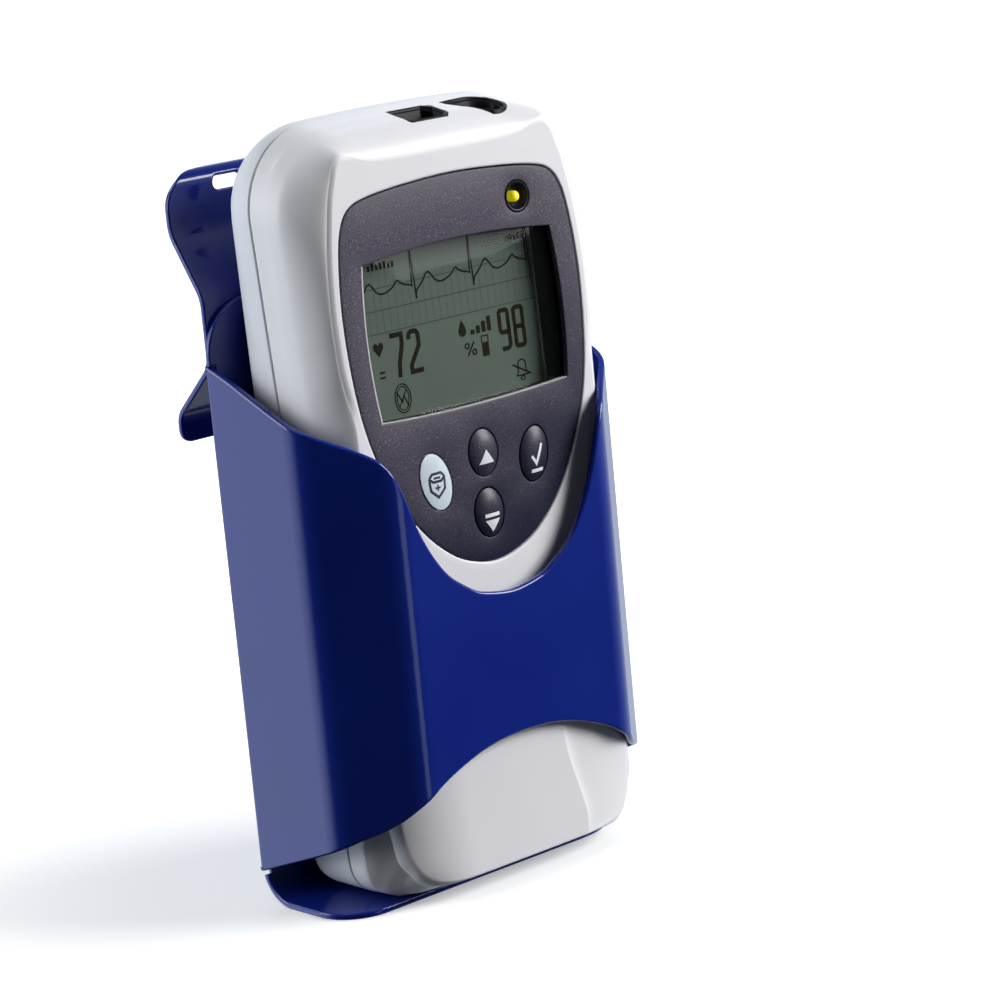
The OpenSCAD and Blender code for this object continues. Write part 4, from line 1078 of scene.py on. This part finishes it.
def flat_piece(name, shapes, depth, thick, mat, body, surf=None):
    """Shapes (2-D points, faces) laid on the face frame at a depth, raised by thick. surf(x, z) gives the depth where it isn't flat."""
    bm = bmesh.new()
    for P, fs in shapes:
        vs = [bm.verts.new((p[0], p[1], 0)) for p in P]
        for q in fs:
            try:
                bm.faces.new([vs[i] for i in q])
            except ValueError:
                pass
    bmesh.ops.recalc_face_normals(bm, faces=bm.faces)
    r = bmesh.ops.extrude_face_region(bm, geom=bm.faces[:])
    new = set(g for g in r["geom"] if isinstance(g, bmesh.types.BMVert))
    for v_ in bm.verts:
        x, z = v_.co.x, v_.co.y
        y = depth if surf is None else surf(x, z)
        y -= thick if v_ in new else 0.0
        v_.co = Vector([c * MM for c in F(x, y, z)])
    me = bpy.data.meshes.new(name)
    bm.to_mesh(me)
    bm.free()
    ob = bpy.data.objects.new(name, me)
    bpy.context.scene.collection.objects.link(ob)
    tidy(ob, 30)
    me.materials.append(mat)
    finish_piece(ob, body)
    return ob


def moved(shape, dx, dz, sx=1.0, sz=1.0, rot=0.0):
    P, fs = shape
    c, s = math.cos(math.radians(rot)), math.sin(math.radians(rot))
    Q = P * (sx, sz)
    Q = np.stack([Q[:, 0] * c - Q[:, 1] * s, Q[:, 0] * s + Q[:, 1] * c], 1)
    return Q + (dx, dz), fs


def digit(ch, x, z, w, h, t):
    """Tall display digit, lower left corner at x, z."""
    r = min(w, h) * 0.28
    i = t / 2
    A_, B_, C_, D_ = (x + i, z + i), (x + w - i, z + i), (x + w - i, z + h - i), (x + i, z + h - i)
    mid = z + h * 0.5
    out = []
    if ch == "0":
        out.append(stroke(rbox(x + i, x + w - i, z + i, z + h - i, r * 0.7, 4), t, True))
    elif ch == "8":
        out.append(stroke(rbox(x + i, x + w - i, mid, z + h - i, r * 0.6, 4), t, True))
        out.append(stroke(rbox(x + i, x + w - i, z + i, mid, r * 0.6, 4), t, True))
    elif ch == "7":
        out.append(stroke([(x, z + h - i), (x + w - i, z + h - i), (x + w - i, z + h * 0.72), (x + w * 0.52, z + h * 0.3), (x + w * 0.45, z)], t))
    elif ch == "2":
        out.append(stroke([(x + i, z + h * 0.78)] + arc(x + i + r, z + h - i - r, r, 180, 90, 4) + arc(x + w - i - r, z + h - i - r, r, 90, 0, 4) + [(x + w - i, z + h * 0.62), (x + i, z + h * 0.2), (x + i, z + i), (x + w, z + i)], t))
    elif ch == "9":
        out.append(stroke(rbox(x + i, x + w - i, mid - h * 0.06, z + h - i, r * 0.6, 4), t, True))
        out.append(stroke([(x + w - i, mid + h * 0.2), (x + w - i, z + i + r)] + arc(x + w - i - r, z + i + r, r, 0, -90, 4) + [(x + i, z + i)], t))
    return out


shapes = []
shapes += digit("7", -18.6, 122.9, 4.0, 10.4, 1.15) + digit("2", -13.6, 122.9, 4.0, 10.4, 1.15)
shapes += digit("9", 14.6, 122.9, 3.8, 10.2, 1.1) + digit("8", 19.2, 122.9, 3.8, 10.2, 1.1)
# heart beside the first number
heart = [(0, -1.5), (1.45, 0.2), (1.5, 0.95), (1.1, 1.4), (0.5, 1.4), (0, 0.85), (-0.5, 1.4), (-1.1, 1.4), (-1.5, 0.95), (-1.45, 0.2)]
shapes.append(moved(blob(heart), -22.3, 130.2, 1.0, 1.1))
shapes.append(moved(stroke([(-0.8, 0), (0.8, 0)], 0.5), -22.0, 124.9))
shapes.append(moved(stroke([(-0.8, 0), (0.8, 0)], 0.5), -22.0, 123.7))
# drop, percent sign and filled bar beside the second number
drop = [(0, 1.9), (0.75, 0.5), (1.05, -0.35), (0.85, -1.15), (0.3, -1.55), (-0.3, -1.55), (-0.85, -1.15), (-1.05, -0.35), (-0.75, 0.5)]
shapes.append(moved(blob(drop), 3.4, 130.4, 1.15, 1.15))
for k in range(4):
    hgt = (1.1, 1.8, 2.6, 3.5)[k]
    shapes.append(blob([(5.9 + 1.75 * k, 128.6), (7.1 + 1.75 * k, 128.6), (7.1 + 1.75 * k, 128.6 + hgt), (5.9 + 1.75 * k, 128.6 + hgt)]))
shapes.append(stroke([(4.3, 123.9), (6.5, 126.9)], 0.45))
shapes.append(stroke(ell(4.3, 126.2, 0.6, 0.6, 0, 12), 0.4, True))
shapes.append(stroke(ell(6.4, 124.5, 0.6, 0.6, 0, 12), 0.4, True))
shapes.append(blob([(8.9, 122.9), (11.0, 122.9), (11.0, 126.2), (8.9, 126.2)]))
shapes.append(stroke([(8.95, 126.2), (8.95, 127.7), (10.95, 127.7), (10.95, 126.2)], 0.3))
# small status bars in the top corners
for x0, n_ in ((-22.6, 7), (20.2, 6)):
    for k in range(n_):
        hh = (1.2, 1.7, 1.2, 1.5, 1.7, 1.1, 1.5)[k % 7]
        shapes.append(blob([(x0 + 1.2 * k, 148.2), (x0 + 1.2 * k + 0.75, 148.2), (x0 + 1.2 * k + 0.75, 148.2 + hh), (x0 + 1.2 * k, 148.2 + hh)]))
flat_piece("display_numbers", shapes, 6.28, 0.03, M["lcd_ink"], "monitor")

# pulse trace: a generic wave, three beats
trace = []
period = 17.9
wave = [(0.0, 143.4), (0.9, 143.0), (1.15, 151.2), (1.45, 151.6), (1.85, 139.8), (2.3, 141.9), (3.3, 142.7), (4.4, 143.7), (5.4, 145.1), (6.2, 145.4), (7.1, 144.5), (8.0, 143.2), (9.2, 142.6), (10.6, 142.6), (12.0, 143.1), (13.2, 143.7), (14.1, 144.7), (14.8, 144.9), (15.5, 144.2), (16.6, 143.6)]
for b_ in range(-1, 4):
    for x_, z_ in wave:
        trace.append((-10.9 + period * b_ + x_, z_))
trace = [p for p in trace if -24.4 <= p[0] <= 27.2]
thin, thick_ = [], []
flat_piece("display_trace", [stroke(trace, 0.42)], 6.28, 0.03, M["lcd_ink"], "monitor")
lines = [stroke([(-29.2, z_), (27.3, z_)], 0.26) for z_ in (133.8, 139.0, 144.1, 149.3)]
flat_piece("display_grid_lines", lines, 6.29, 0.02, M["lcd_grid"], "monitor")
lines = [stroke([(x_, 134.0), (x_, 149.2)], 0.22) for x_ in np.arange(-26.0, 27.0, 2.15)]
flat_piece("display_grid_faint", lines, 6.292, 0.012, M["lcd_faint"], "monitor")
# two small signs under the numbers: a ring with a crossed bar, and a struck-out bell
signs = [stroke(ell(-16.9, 118.0, 2.35, 3.35, 0, 40), 0.3, True), stroke(ell(-16.9, 118.0, 1.75, 2.75, 0, 36), 0.25, True),
         stroke([(-18.6, 119.7), (-17.2, 117.2), (-16.6, 118.6), (-15.4, 116.0)], 0.35), stroke([(-18.2, 116.2), (-15.6, 120.0)], 0.25)]
bell = [(20.4 - 1.75, 116.4)] + [(20.4 - 1.3, 117.3), (20.4 - 1.2, 118.9)] + arc(20.4, 118.9, 1.2, 180, 0, 10) + [(20.4 + 1.3, 117.3), (20.4 + 1.75, 116.4)]
signs += [stroke(bell, 0.35, True), stroke(ell(20.4, 115.7, 0.7, 0.45, 0, 14), 0.3, True), stroke([(17.5, 119.3), (23.1, 116.3)], 0.4)]
flat_piece("display_signs", signs, 6.28, 0.03, M["lcd_ink"], "monitor")
# bright line at the panel's right edge
bm = plate_bm(rbox(27.35, 27.9, 112.2, 152.9, 0.1), [], 0.5, 0.05, 1)
bm_piece("display_edge_light", bm, lambda u, v_, w: F(u, 6.15 + w, v_), M["rimlight"], "monitor")

# ------------------------------------------------------------------ alarm light
def face_place(cx, cz):
    return lambda x, y, h: F(cx + x, h, cz + y)


prof = [(3.4, 3.6), (3.7, 3.5), (3.7, 0.45), (3.66, 0.28), (3.52, 0.14), (3.3, 0.12), (3.12, 0.2), (2.9, 0.75), (2.5, 1.35), (2.0, 1.8), (1.6, 2.0), (1.45, 2.2), (1.42, 3.5)]
v, f = lathe(prof, face_place(WELL[0], WELL[1]), 72)
f = f[:-2]
n_ = 72
last = (len(prof) - 1) * n_
for i in range(n_):
    k = (i + 1) % n_
    f.append((last + i, last + k, k, i))
make("light_well", v, f, M["well"], "monitor", "black_plastic", ["led_well"])
prof = [(1.3, 5.0), (1.3, 1.3), (1.26, 0.95), (1.12, 0.62), (0.85, 0.38), (0.5, 0.26), (0.15, 0.22)]
v, f = lathe(prof, face_place(WELL[0], WELL[1]), 40)
make("alarm_lamp", v, f, M["lamp"], "monitor", "lamp_yellow", ["alarm_led"])


# ------------------------------------------------------------------ buttons
def dome_depth(k, x, z, proud, edge=0.0):
    c, s = math.cos(math.radians(k[4])), math.sin(math.radians(k[4]))
    dx, dz = x - k[0], z - k[1]
    u, w = (dx * c + dz * s) / k[2], (-dx * s + dz * c) / k[3]
    q = min(math.sqrt(u * u + w * w), 1.0)
    return edge - (proud + edge) * (1 - q ** 2.6)


def button(name, key, proud, edge, mat, body, slot, node):
    k = KEYS[key]
    rings = []
    N = 96
    rings.append([F(p[0], 5.4, p[1]) for p in ell(k[0], k[1], 2, 2, 0, N)])
    rings.append([F(p[0], 2.7, p[1]) for p in ell(k[0], k[1], 2, 2, 0, N)])
    rings.append([F(p[0], 2.7, p[1]) for p in key_loop(k, 0.85, N)])
    rings.append([F(p[0], 1.9, p[1]) for p in key_loop(k, 0.85, N)])
    rings.append([F(p[0], 1.85, p[1]) for p in key_loop(k, 0.0, N)])
    rings.append([F(p[0], edge + 0.25, p[1]) for p in key_loop(k, 0.0, N)])
    for s in (1.0, 0.985, 0.96, 0.92, 0.87, 0.8, 0.72, 0.62, 0.5, 0.36, 0.2, 0.06):
        pts = []
        for p in ell(k[0], k[1], k[2] * s, k[3] * s, k[4], N):
            pts.append(F(p[0], dome_depth(k, p[0], p[1], proud, edge), p[1]))
        rings.append(pts)
    v, f = loft([np.array(r) for r in rings], cap0=True, cap1=True)
    return make(name, v, f, mat, body, slot, [node], sharp=50)


button("nurse_cap", "nurse", 0.32, 0.05, M["pale"], "nurse_key", "button_pale", "nurse_button")
button("up_cap", "up", 0.95, 0.12, M["button"], "up_key", "button_grey", "up_button")
button("down_cap", "down", 0.95, 0.12, M["button"], "down_key", "button_grey", "down_button")
button("select_cap", "select", 0.95, 0.12, M["button"], "select_key", "button_grey", "select_button")


def icon(name, key, shapes, proud, edge, mat, body, lift=0.03):
    """Printed sign that follows the button's crown."""
    k = KEYS[key]
    bm = bmesh.new()
    for P, fs in shapes:
        vs = [bm.verts.new((p[0], p[1], 0)) for p in P]
        for q in fs:
            bm.faces.new([vs[i] for i in q])
    bmesh.ops.recalc_face_normals(bm, faces=bm.faces)
    bmesh.ops.triangulate(bm, faces=[q for q in bm.faces if len(q.verts) > 4])
    for _ in range(2):
        bmesh.ops.subdivide_edges(bm, edges=[e for e in bm.edges if e.calc_length() > 0.7], cuts=1, use_grid_fill=True)
    bmesh.ops.triangulate(bm, faces=bm.faces)
    r = bmesh.ops.extrude_face_region(bm, geom=bm.faces[:])
    new = set(g for g in r["geom"] if isinstance(g, bmesh.types.BMVert))
    for v_ in bm.verts:
        x, z = k[0] + v_.co.x, k[1] + v_.co.y
        y = dome_depth(k, x, z, proud, edge) + 0.02 - ((lift + 0.02) if v_ in new else 0.0)
        v_.co = Vector([c * MM for c in F(x, y, z)])
    me = bpy.data.meshes.new(name)
    bm.to_mesh(me)
    bm.free()
    ob = bpy.data.objects.new(name, me)
    bpy.context.scene.collection.objects.link(ob)
    tidy(ob, 40)
    me.materials.append(mat)
    finish_piece(ob, body)


icon("up_sign", "up", [blob([(-2.3, -2.6), (2.3, -2.6), (0, 0.7)])], 0.95, 0.12, M["ink_white"], "up_key")
icon("down_sign", "down", [blob([(-2.25, -1.7), (0, -4.6), (2.25, -1.7)]), stroke([(-2.2, -0.6), (2.2, -0.6)], 0.85)], 0.95, 0.12, M["ink_white"], "down_key")
icon("select_sign", "select", [stroke([(-1.6, -0.4), (-0.4, -2.3), (1.9, 2.1)], 0.7), stroke([(-1.9, -4.0), (1.9, -4.0)], 0.85)], 0.95, 0.12, M["ink_white"], "select_key")
cap = [stroke([(-2.3, 0.6), (-2.1, -1.8), (0.0, -3.6), (2.1, -1.8), (2.3, 0.6)], 0.62), stroke([(-2.5, 1.1), (-1.2, 0.1), (1.2, 0.1), (2.5, 1.1)], 0.62),
       stroke([(-2.2, 1.2), (-1.3, 2.0), (1.3, 2.0), (2.2, 1.2)], 0.62), stroke([(-1.0, 0.95), (1.0, 0.95)], 0.5), stroke([(-0.75, -1.35), (0.75, -1.35)], 0.42), stroke([(0, -2.1), (0, -0.6)], 0.42)]
icon("nurse_sign", "nurse", cap, 0.32, 0.05, M["ink_dark"], "nurse_key")

# ------------------------------------------------------------------ cradle
T = 1.5
wrap_half = [(48.95, 20.1), (47.9, -8.6), (32.5, -22.25)]
wrap_path = bent_path(wrap_half + mirror_x(wrap_half), [0, 9, 9, 9, 9, 0], 14)
# the flat sheet's two long edges: (distance along the sheet from its middle, height)
view_cut = smooth([(0, 70.0), (3.5, 70.3), (9.9, 71.7), (14.25, 74.1), (18.4, 77.1), (21.6, 80.8), (24.7, 85.7), (27.2, 90.9), (29.2, 96.6), (31.1, 101.6), (32.3, 104.1), (33.6, 106.0), (35.5, 107.7),
                   (38.7, 109.6), (41.9, 111.1), (45.3, 112.6), (51.2, 115.3), (61.5, 120.1), (69, 123.8), (73.4, 126.0), (81.2, 129.4)], 4)
foot_cut = smooth([(0, 35.9), (8, 35.4), (15, 34.0), (21.6, 31.8), (27, 29.4), (31, 26.9), (33.5, 25.4), (36.7, 23.3), (40.7, 21.3), (43.9, 20.1), (47.1, 19.2), (50.2, 18.1), (57.5, 15.4), (69.9, 11.2), (80.6, 7.6)], 4)


def path_tools(path):
    seg = np.linalg.norm(np.diff(path, axis=0), axis=1)
    U = np.concatenate([[0], np.cumsum(seg)])
    d = np.diff(path, axis=0) / seg[:, None]
    tang = np.zeros_like(path)
    tang[0], tang[-1] = d[0], d[-1]
    tang[1:-1] = d[:-1] + d[1:]
    tang /= np.linalg.norm(tang, axis=1, keepdims=True)
    norm = np.stack([-tang[:, 1], tang[:, 0]], 1)

    def at(u):
        p = np.array([np.interp(u, U, path[:, 0]), np.interp(u, U, path[:, 1])])
        q = np.array([np.interp(u, U, norm[:, 0]), np.interp(u, U, norm[:, 1])])
        return p, q / np.linalg.norm(q)
    return U, at


def bend_cuts(U):
    """Places where a bent plate's flat mesh is split: every path point, and close to each end of a straight run."""
    out = list(U[1:-1])
    gap = np.diff(U)
    for i in range(len(gap)):
        if gap[i] > 2.5:
            if i > 0:
                out += [U[i] + 0.25, U[i] + 0.8]
            if i < len(gap) - 1:
                out += [U[i + 1] - 0.25, U[i + 1] - 0.8]
    return sorted(out)


U, at = path_tools(wrap_path)
ulist = np.unique(np.concatenate([U, np.arange(0, U[-1], 1.0), [U[-1]]]))
ulist = ulist[np.concatenate([[True], np.diff(ulist) > 0.05])]
half_u = U[-1] / 2
top_pts = [(u, float(np.interp(abs(u - half_u), [p[0] for p in view_cut], [p[1] for p in view_cut]))) for u in ulist]
bot_pts = [(u, float(np.interp(abs(u - half_u), [p[0] for p in foot_cut], [p[1] for p in foot_cut]))) for u in ulist]
outline = bot_pts + top_pts[::-1]
p0, q0 = at(half_u)
WRAP_SIGN = 1.0 if q0[1] > 0 else -1.0
bm = plate_bm(outline, [], T, 0.7, 5, er2=0.3, sup=0.4, cuts_u=bend_cuts(U))


def wrap_map(u, v_, w):
    p, q = at(u)
    # w counts from the outside inwards
    s = p - q * (T / 2 - w) * WRAP_SIGN
    return (s[0], s[1], v_)


bm_piece("cradle_band", bm, wrap_map, M["blue"], "cradle", ["cradle_wrap"], sharp=40)

# back plate with its shelf: path in (y, z), width along x
bp_path = bent_path([(18.75, 143.8), (18.75, 0.75), (-11.8, 0.75)], [0, 8.75, 0], 16)
Ub, atb = path_tools(bp_path)


def width_outline(Uv, atv, half_fn, ends):
    us = np.unique(np.concatenate([Uv, np.arange(0, Uv[-1], 2.0), ends, [Uv[-1]]]))
    us = us[np.concatenate([[True], np.diff(us) > 0.02])]
    side = []
    for u in us:
        p, q = atv(u)
        side.append((u, half_fn(p[0], p[1])))
    return side + [(s[0], -s[1]) for s in side[::-1]]


quarter = np.linspace(0, math.pi / 2, 18)
side = [(13.0 * (1 - math.cos(a)), 36.7 + 13.0 * math.sin(a)) for a in quarter]
side += [(14.6, 49.7), (14.6, 48.08)]
side += [(u, 48.08) for u in np.arange(18.0, 136.0, 3.0)] + [(136.7, 48.08), (136.7, 49.7)]
side += [(u, 49.7) for u in np.arange(138.0, Ub[-1] - 11.6, 1.5)]
side += [(Ub[-1] - 11.5 + 11.5 * math.sin(a), 38.2 + 11.5 * math.cos(a)) for a in quarter]
# the shelf's right front corner is cut back under the monitor's foot
shelf_cut = smooth([(23.9, -11.8), (30, -11.1), (35, -9), (40, -5.5), (44.5, -1), (47.8, 3.8), (49.7, 9.2)], 5)
right = [q for q in side if q[0] < Ub[-1] - 21.5] + [(Ub[-1] - 11.8 - y, x) for x, y in shelf_cut[::-1]]
outline = right + [(q[0], -q[1]) for q in side[::-1]]
bm = plate_bm(outline, [], T, 0.45, 4, sup=0.4, cuts_u=bend_cuts(Ub))


def bp_map(u, v_, w):
    p, q = atb(u)
    s = p + q * (T / 2 - w)
    return (v_, s[0], s[1])


bm_piece("cradle_plate", bm, bp_map, M["blue"], "cradle", ["cradle_back_plate"], sharp=40)

# thin pad that the monitor stands on
bm = plate_bm([(p[0], p[1] - 0.5) for p in rbox(-30, 30, -8.5, 8.5, 4.0, 10)], [], 0.5, 0.15, 2)
bm_piece("shelf_pad", bm, lambda u, v_, w: (u, v_, 2.0 - w), M["rubber"], "cradle", ["cradle_shelf_pad"])

# hook plate
hk_path = bent_path([(32.9, 172.05), (29.55, 172.05), (29.55, 159), (20.25, 144.5), (20.25, 128.5), (33.8, 116), (33.8, 109.6)], [0, 2.8, 8, 8, 6, 5, 0], 12)
Uh, ath = path_tools(hk_path)


def hook_half(y, z):
    if z < 112.6:
        return 45.5 + math.sqrt(max(9.0 - (112.6 - z) ** 2, 0))
    return 48.5


ends = [Uh[-1] - 3.0 * (1 - math.cos(a)) for a in np.linspace(0, math.pi / 2, 8)] + list(np.arange(0.4, 16.0, 0.5))
outline = width_outline(Uh, ath, hook_half, ends)
# the top corners are rounded in the flat sheet, so the rounding runs over the bend into the lip
TOP_U, TOP_A, TOP_B = 9.6, 14.0, 9.2
outline = [(u, math.copysign(min(abs(w), 48.5 - TOP_A + TOP_A * math.sqrt(max(0.0, 1 - (max(0.0, TOP_U - u) / TOP_B) ** 2)) if u > TOP_U - TOP_B else 48.5 - TOP_A), w)) for u, w in outline]
SLOT_Z = 168.8
u_at = float(np.interp(-SLOT_Z, -hk_path[:, 1][np.argsort(-hk_path[:, 1])], Uh[np.argsort(-hk_path[:, 1])]))
slots = []
for s in (-1, 1):
    c = s * 30.5
    slots.append(arc(u_at, c + 2.7, 1.6, 0, 180, 16) + arc(u_at, c - 2.7, 1.6, 180, 360, 16))
bm = plate_bm(outline, slots, T, 0.45, 4, sup=0.3, cuts_u=bend_cuts(Uh))


def hk_map(u, v_, w):
    p, q = ath(u)
    s = p + q * (T / 2 - w)
    return (v_, s[0], s[1])


bm_piece("hook_plate_sheet", bm, hk_map, M["blue"], "cradle", ["cradle_hook_plate"], sharp=40)

# rivets with low domed heads
geo = []
for x in (-33, -11, 11, 33):
    z = 136.5
    prof = [(2.7, 18.06), (2.7, 18.1), (1.6, 19.2), (1.6, 21.0), (2.75, 21.0), (2.8, 21.12), (2.6, 21.5), (2.0, 21.8), (1.0, 21.95), (0.2, 22.0)]
    geo.append(lathe(prof, lambda a, b_, h, x=x, z=z: (x + a, h, z + b_), 36))
make("cradle_rivet_set", *join_geo(*geo), M["rivet"], "cradle", "rivet_steel", ["cradle_rivets"])

# ------------------------------------------------------------------ parts that keep their CAD shape
KEEP = {"housing_gasket": "rubber", "lcd_backlight": "guide", "lcd_flex": "foil", "keypad_mat": "mat_rubber", "keypad_board": "pcb", "dome_switches": "steel", "main_board": "pcb",
        "board_chips": "chip", "radio_module": "shield", "antenna": "foil", "speaker": "black", "battery_pack": "battery", "battery_contacts": "brass", "screw_inserts": "brass", "board_screws": "steel"}
for node, key in KEEP.items():
    o = NODES[node]
    o.data.materials.clear()
    o.data.materials.append(M[key])
    for p in o.data.polygons:
        p.material_index = 0
for node, o in NODES.items():
    if len(o.data.materials) == 0:
        o.data.materials.append(M["black"])

# ------------------------------------------------------------------ floor, light
FLOOR_NEAR, FLOOR_FAR = 0.30, 0.97
WORLD_BASE = 0.02
# (azimuth, elevation, inner angle, outer angle, strength)
WORLD_PATCHES = [(180, 20, 40, 95, 0.3), (-139, -12, 12, 45, 1.5), (12, -12, 3, 10, 1.3), (95, -10, 15, 50, 0.3), (112, -46, 20, 50, 0.5), (139, 14, 8, 24, 1.6)]
bm = bmesh.new()
S, nseg = 6.0, 24
vs = [[bm.verts.new((-S + 2 * S * i / nseg, -S + 2 * S * j / nseg, 0.0)) for j in range(nseg + 1)] for i in range(nseg + 1)]
for i in range(nseg):
    for j in range(nseg):
        bm.faces.new((vs[i][j], vs[i + 1][j], vs[i + 1][j + 1], vs[i][j + 1]))
me = bpy.data.meshes.new("floor")
bm.to_mesh(me)
bm.free()
floor = bpy.data.objects.new("floor", me)
bpy.context.scene.collection.objects.link(floor)
floor_mat = surface("floor_white", (0.86, 0.86, 0.86), (0.90, 0.90, 0.895), rough=(0.65, 0.75), scale=1.2, bump=(300.0, 0.02, 0.0001), spec=0.2)
# a sweep that glows white away from the object; the glow is dimmer near the object, which leaves painted shade on the
# floor around its base
fnt = floor_mat.node_tree
ftc = fnt.nodes.new("ShaderNodeTexCoord")
fln = fnt.nodes.new("ShaderNodeVectorMath")
fln.operation = "LENGTH"
fnt.links.new(ftc.outputs["Object"], fln.inputs[0])
fr = fnt.nodes.new("ShaderNodeMapRange")
fr.interpolation_type = "SMOOTHSTEP"
fr.inputs["From Min"].default_value = 0.07
fr.inputs["From Max"].default_value = 0.26
fr.inputs["To Min"].default_value = FLOOR_NEAR
fr.inputs["To Max"].default_value = FLOOR_FAR
fnt.links.new(fln.outputs["Value"], fr.inputs["Value"])
fp = [q for q in fnt.nodes if q.type == "BSDF_PRINCIPLED"][0]
fp.inputs["Emission Color"].default_value = (1.0, 0.995, 0.985, 1.0)
fnt.links.new(fr.outputs["Result"], fp.inputs["Emission Strength"])
me.materials.append(floor_mat)
floor.visible_glossy = False
floor.visible_diffuse = False

# studio: white backdrop behind, dark room in front, two soft reflectors low at the front
world = bpy.data.worlds.new("studio")
bpy.context.scene.world = world
world.use_nodes = True
wn = world.node_tree
wn.nodes.clear()
wo = wn.nodes.new("ShaderNodeOutputWorld")
bg = wn.nodes.new("ShaderNodeBackground")
wtc = wn.nodes.new("ShaderNodeTexCoord")


def direction_patch(az, el, inner, outer, value):
    """Soft round patch around a direction (az from the front towards +X), angles in degrees."""
    a, e = math.radians(az), math.radians(el)
    dt = wn.nodes.new("ShaderNodeVectorMath")
    dt.operation = "DOT_PRODUCT"
    wn.links.new(wtc.outputs["Generated"], dt.inputs[0])
    dt.inputs[1].default_value = (math.sin(a) * math.cos(e), -math.cos(a) * math.cos(e), math.sin(e))
    mr = wn.nodes.new("ShaderNodeMapRange")
    mr.interpolation_type = "SMOOTHSTEP"
    mr.inputs["From Min"].default_value = math.cos(math.radians(outer))
    mr.inputs["From Max"].default_value = math.cos(math.radians(inner))
    mr.inputs["To Min"].default_value = 0.0
    mr.inputs["To Max"].default_value = value
    wn.links.new(dt.outputs["Value"], mr.inputs["Value"])
    return mr.outputs["Result"]


sky = [direction_patch(*q) for q in WORLD_PATCHES]
acc = None
for q in sky:
    if acc is None:
        acc = q
        continue
    ad = wn.nodes.new("ShaderNodeMath")
    ad.operation = "ADD"
    wn.links.new(acc, ad.inputs[0])
    wn.links.new(q, ad.inputs[1])
    acc = ad.outputs["Value"]
ad = wn.nodes.new("ShaderNodeMath")
ad.operation = "ADD"
wn.links.new(acc, ad.inputs[0])
ad.inputs[1].default_value = WORLD_BASE
bg.inputs["Color"].default_value = (0.80, 0.90, 1.0, 1)
wn.links.new(ad.outputs["Value"], bg.inputs["Strength"])
wn.links.new(bg.outputs["Background"], wo.inputs["Surface"])


def softbox(name, az, el, dist, w, h, power, aim=(0, 0, 0.09), col=(1, 1, 1)):
    """az is counted from the front (-Y) towards +X."""
    a, e = math.radians(az), math.radians(el)
    pos = Vector((math.sin(a) * math.cos(e), -math.cos(a) * math.cos(e), math.sin(e))) * dist + Vector(aim)
    ld = bpy.data.lights.new(name, "AREA")
    ld.shape = "RECTANGLE"
    ld.size, ld.size_y = w, h
    ld.energy = power
    ld.color = col
    lo = bpy.data.objects.new(name, ld)
    lo.location = pos
    lo.rotation_euler = (Vector(aim) - pos).to_track_quat("-Z", "Y").to_euler()
    lo.visible_camera = False
    bpy.context.scene.collection.objects.link(lo)
    return lo


softbox("key_right", 48, 25, 1.3, 0.75, 0.75, 23.0)
softbox("top", -78, 68, 1.4, 0.7, 0.7, 1.6)
softbox("rim_back", -165, 40, 1.3, 0.3, 0.4, 1.2)
softbox("left_back", -120, 20, 1.2, 0.6, 0.9, 7.5)

sc = bpy.context.scene
sc.view_settings.view_transform = "Standard"
sc.view_settings.look = "None"
sc.view_settings.exposure = 0.0
sc.view_settings.gamma = 1.0
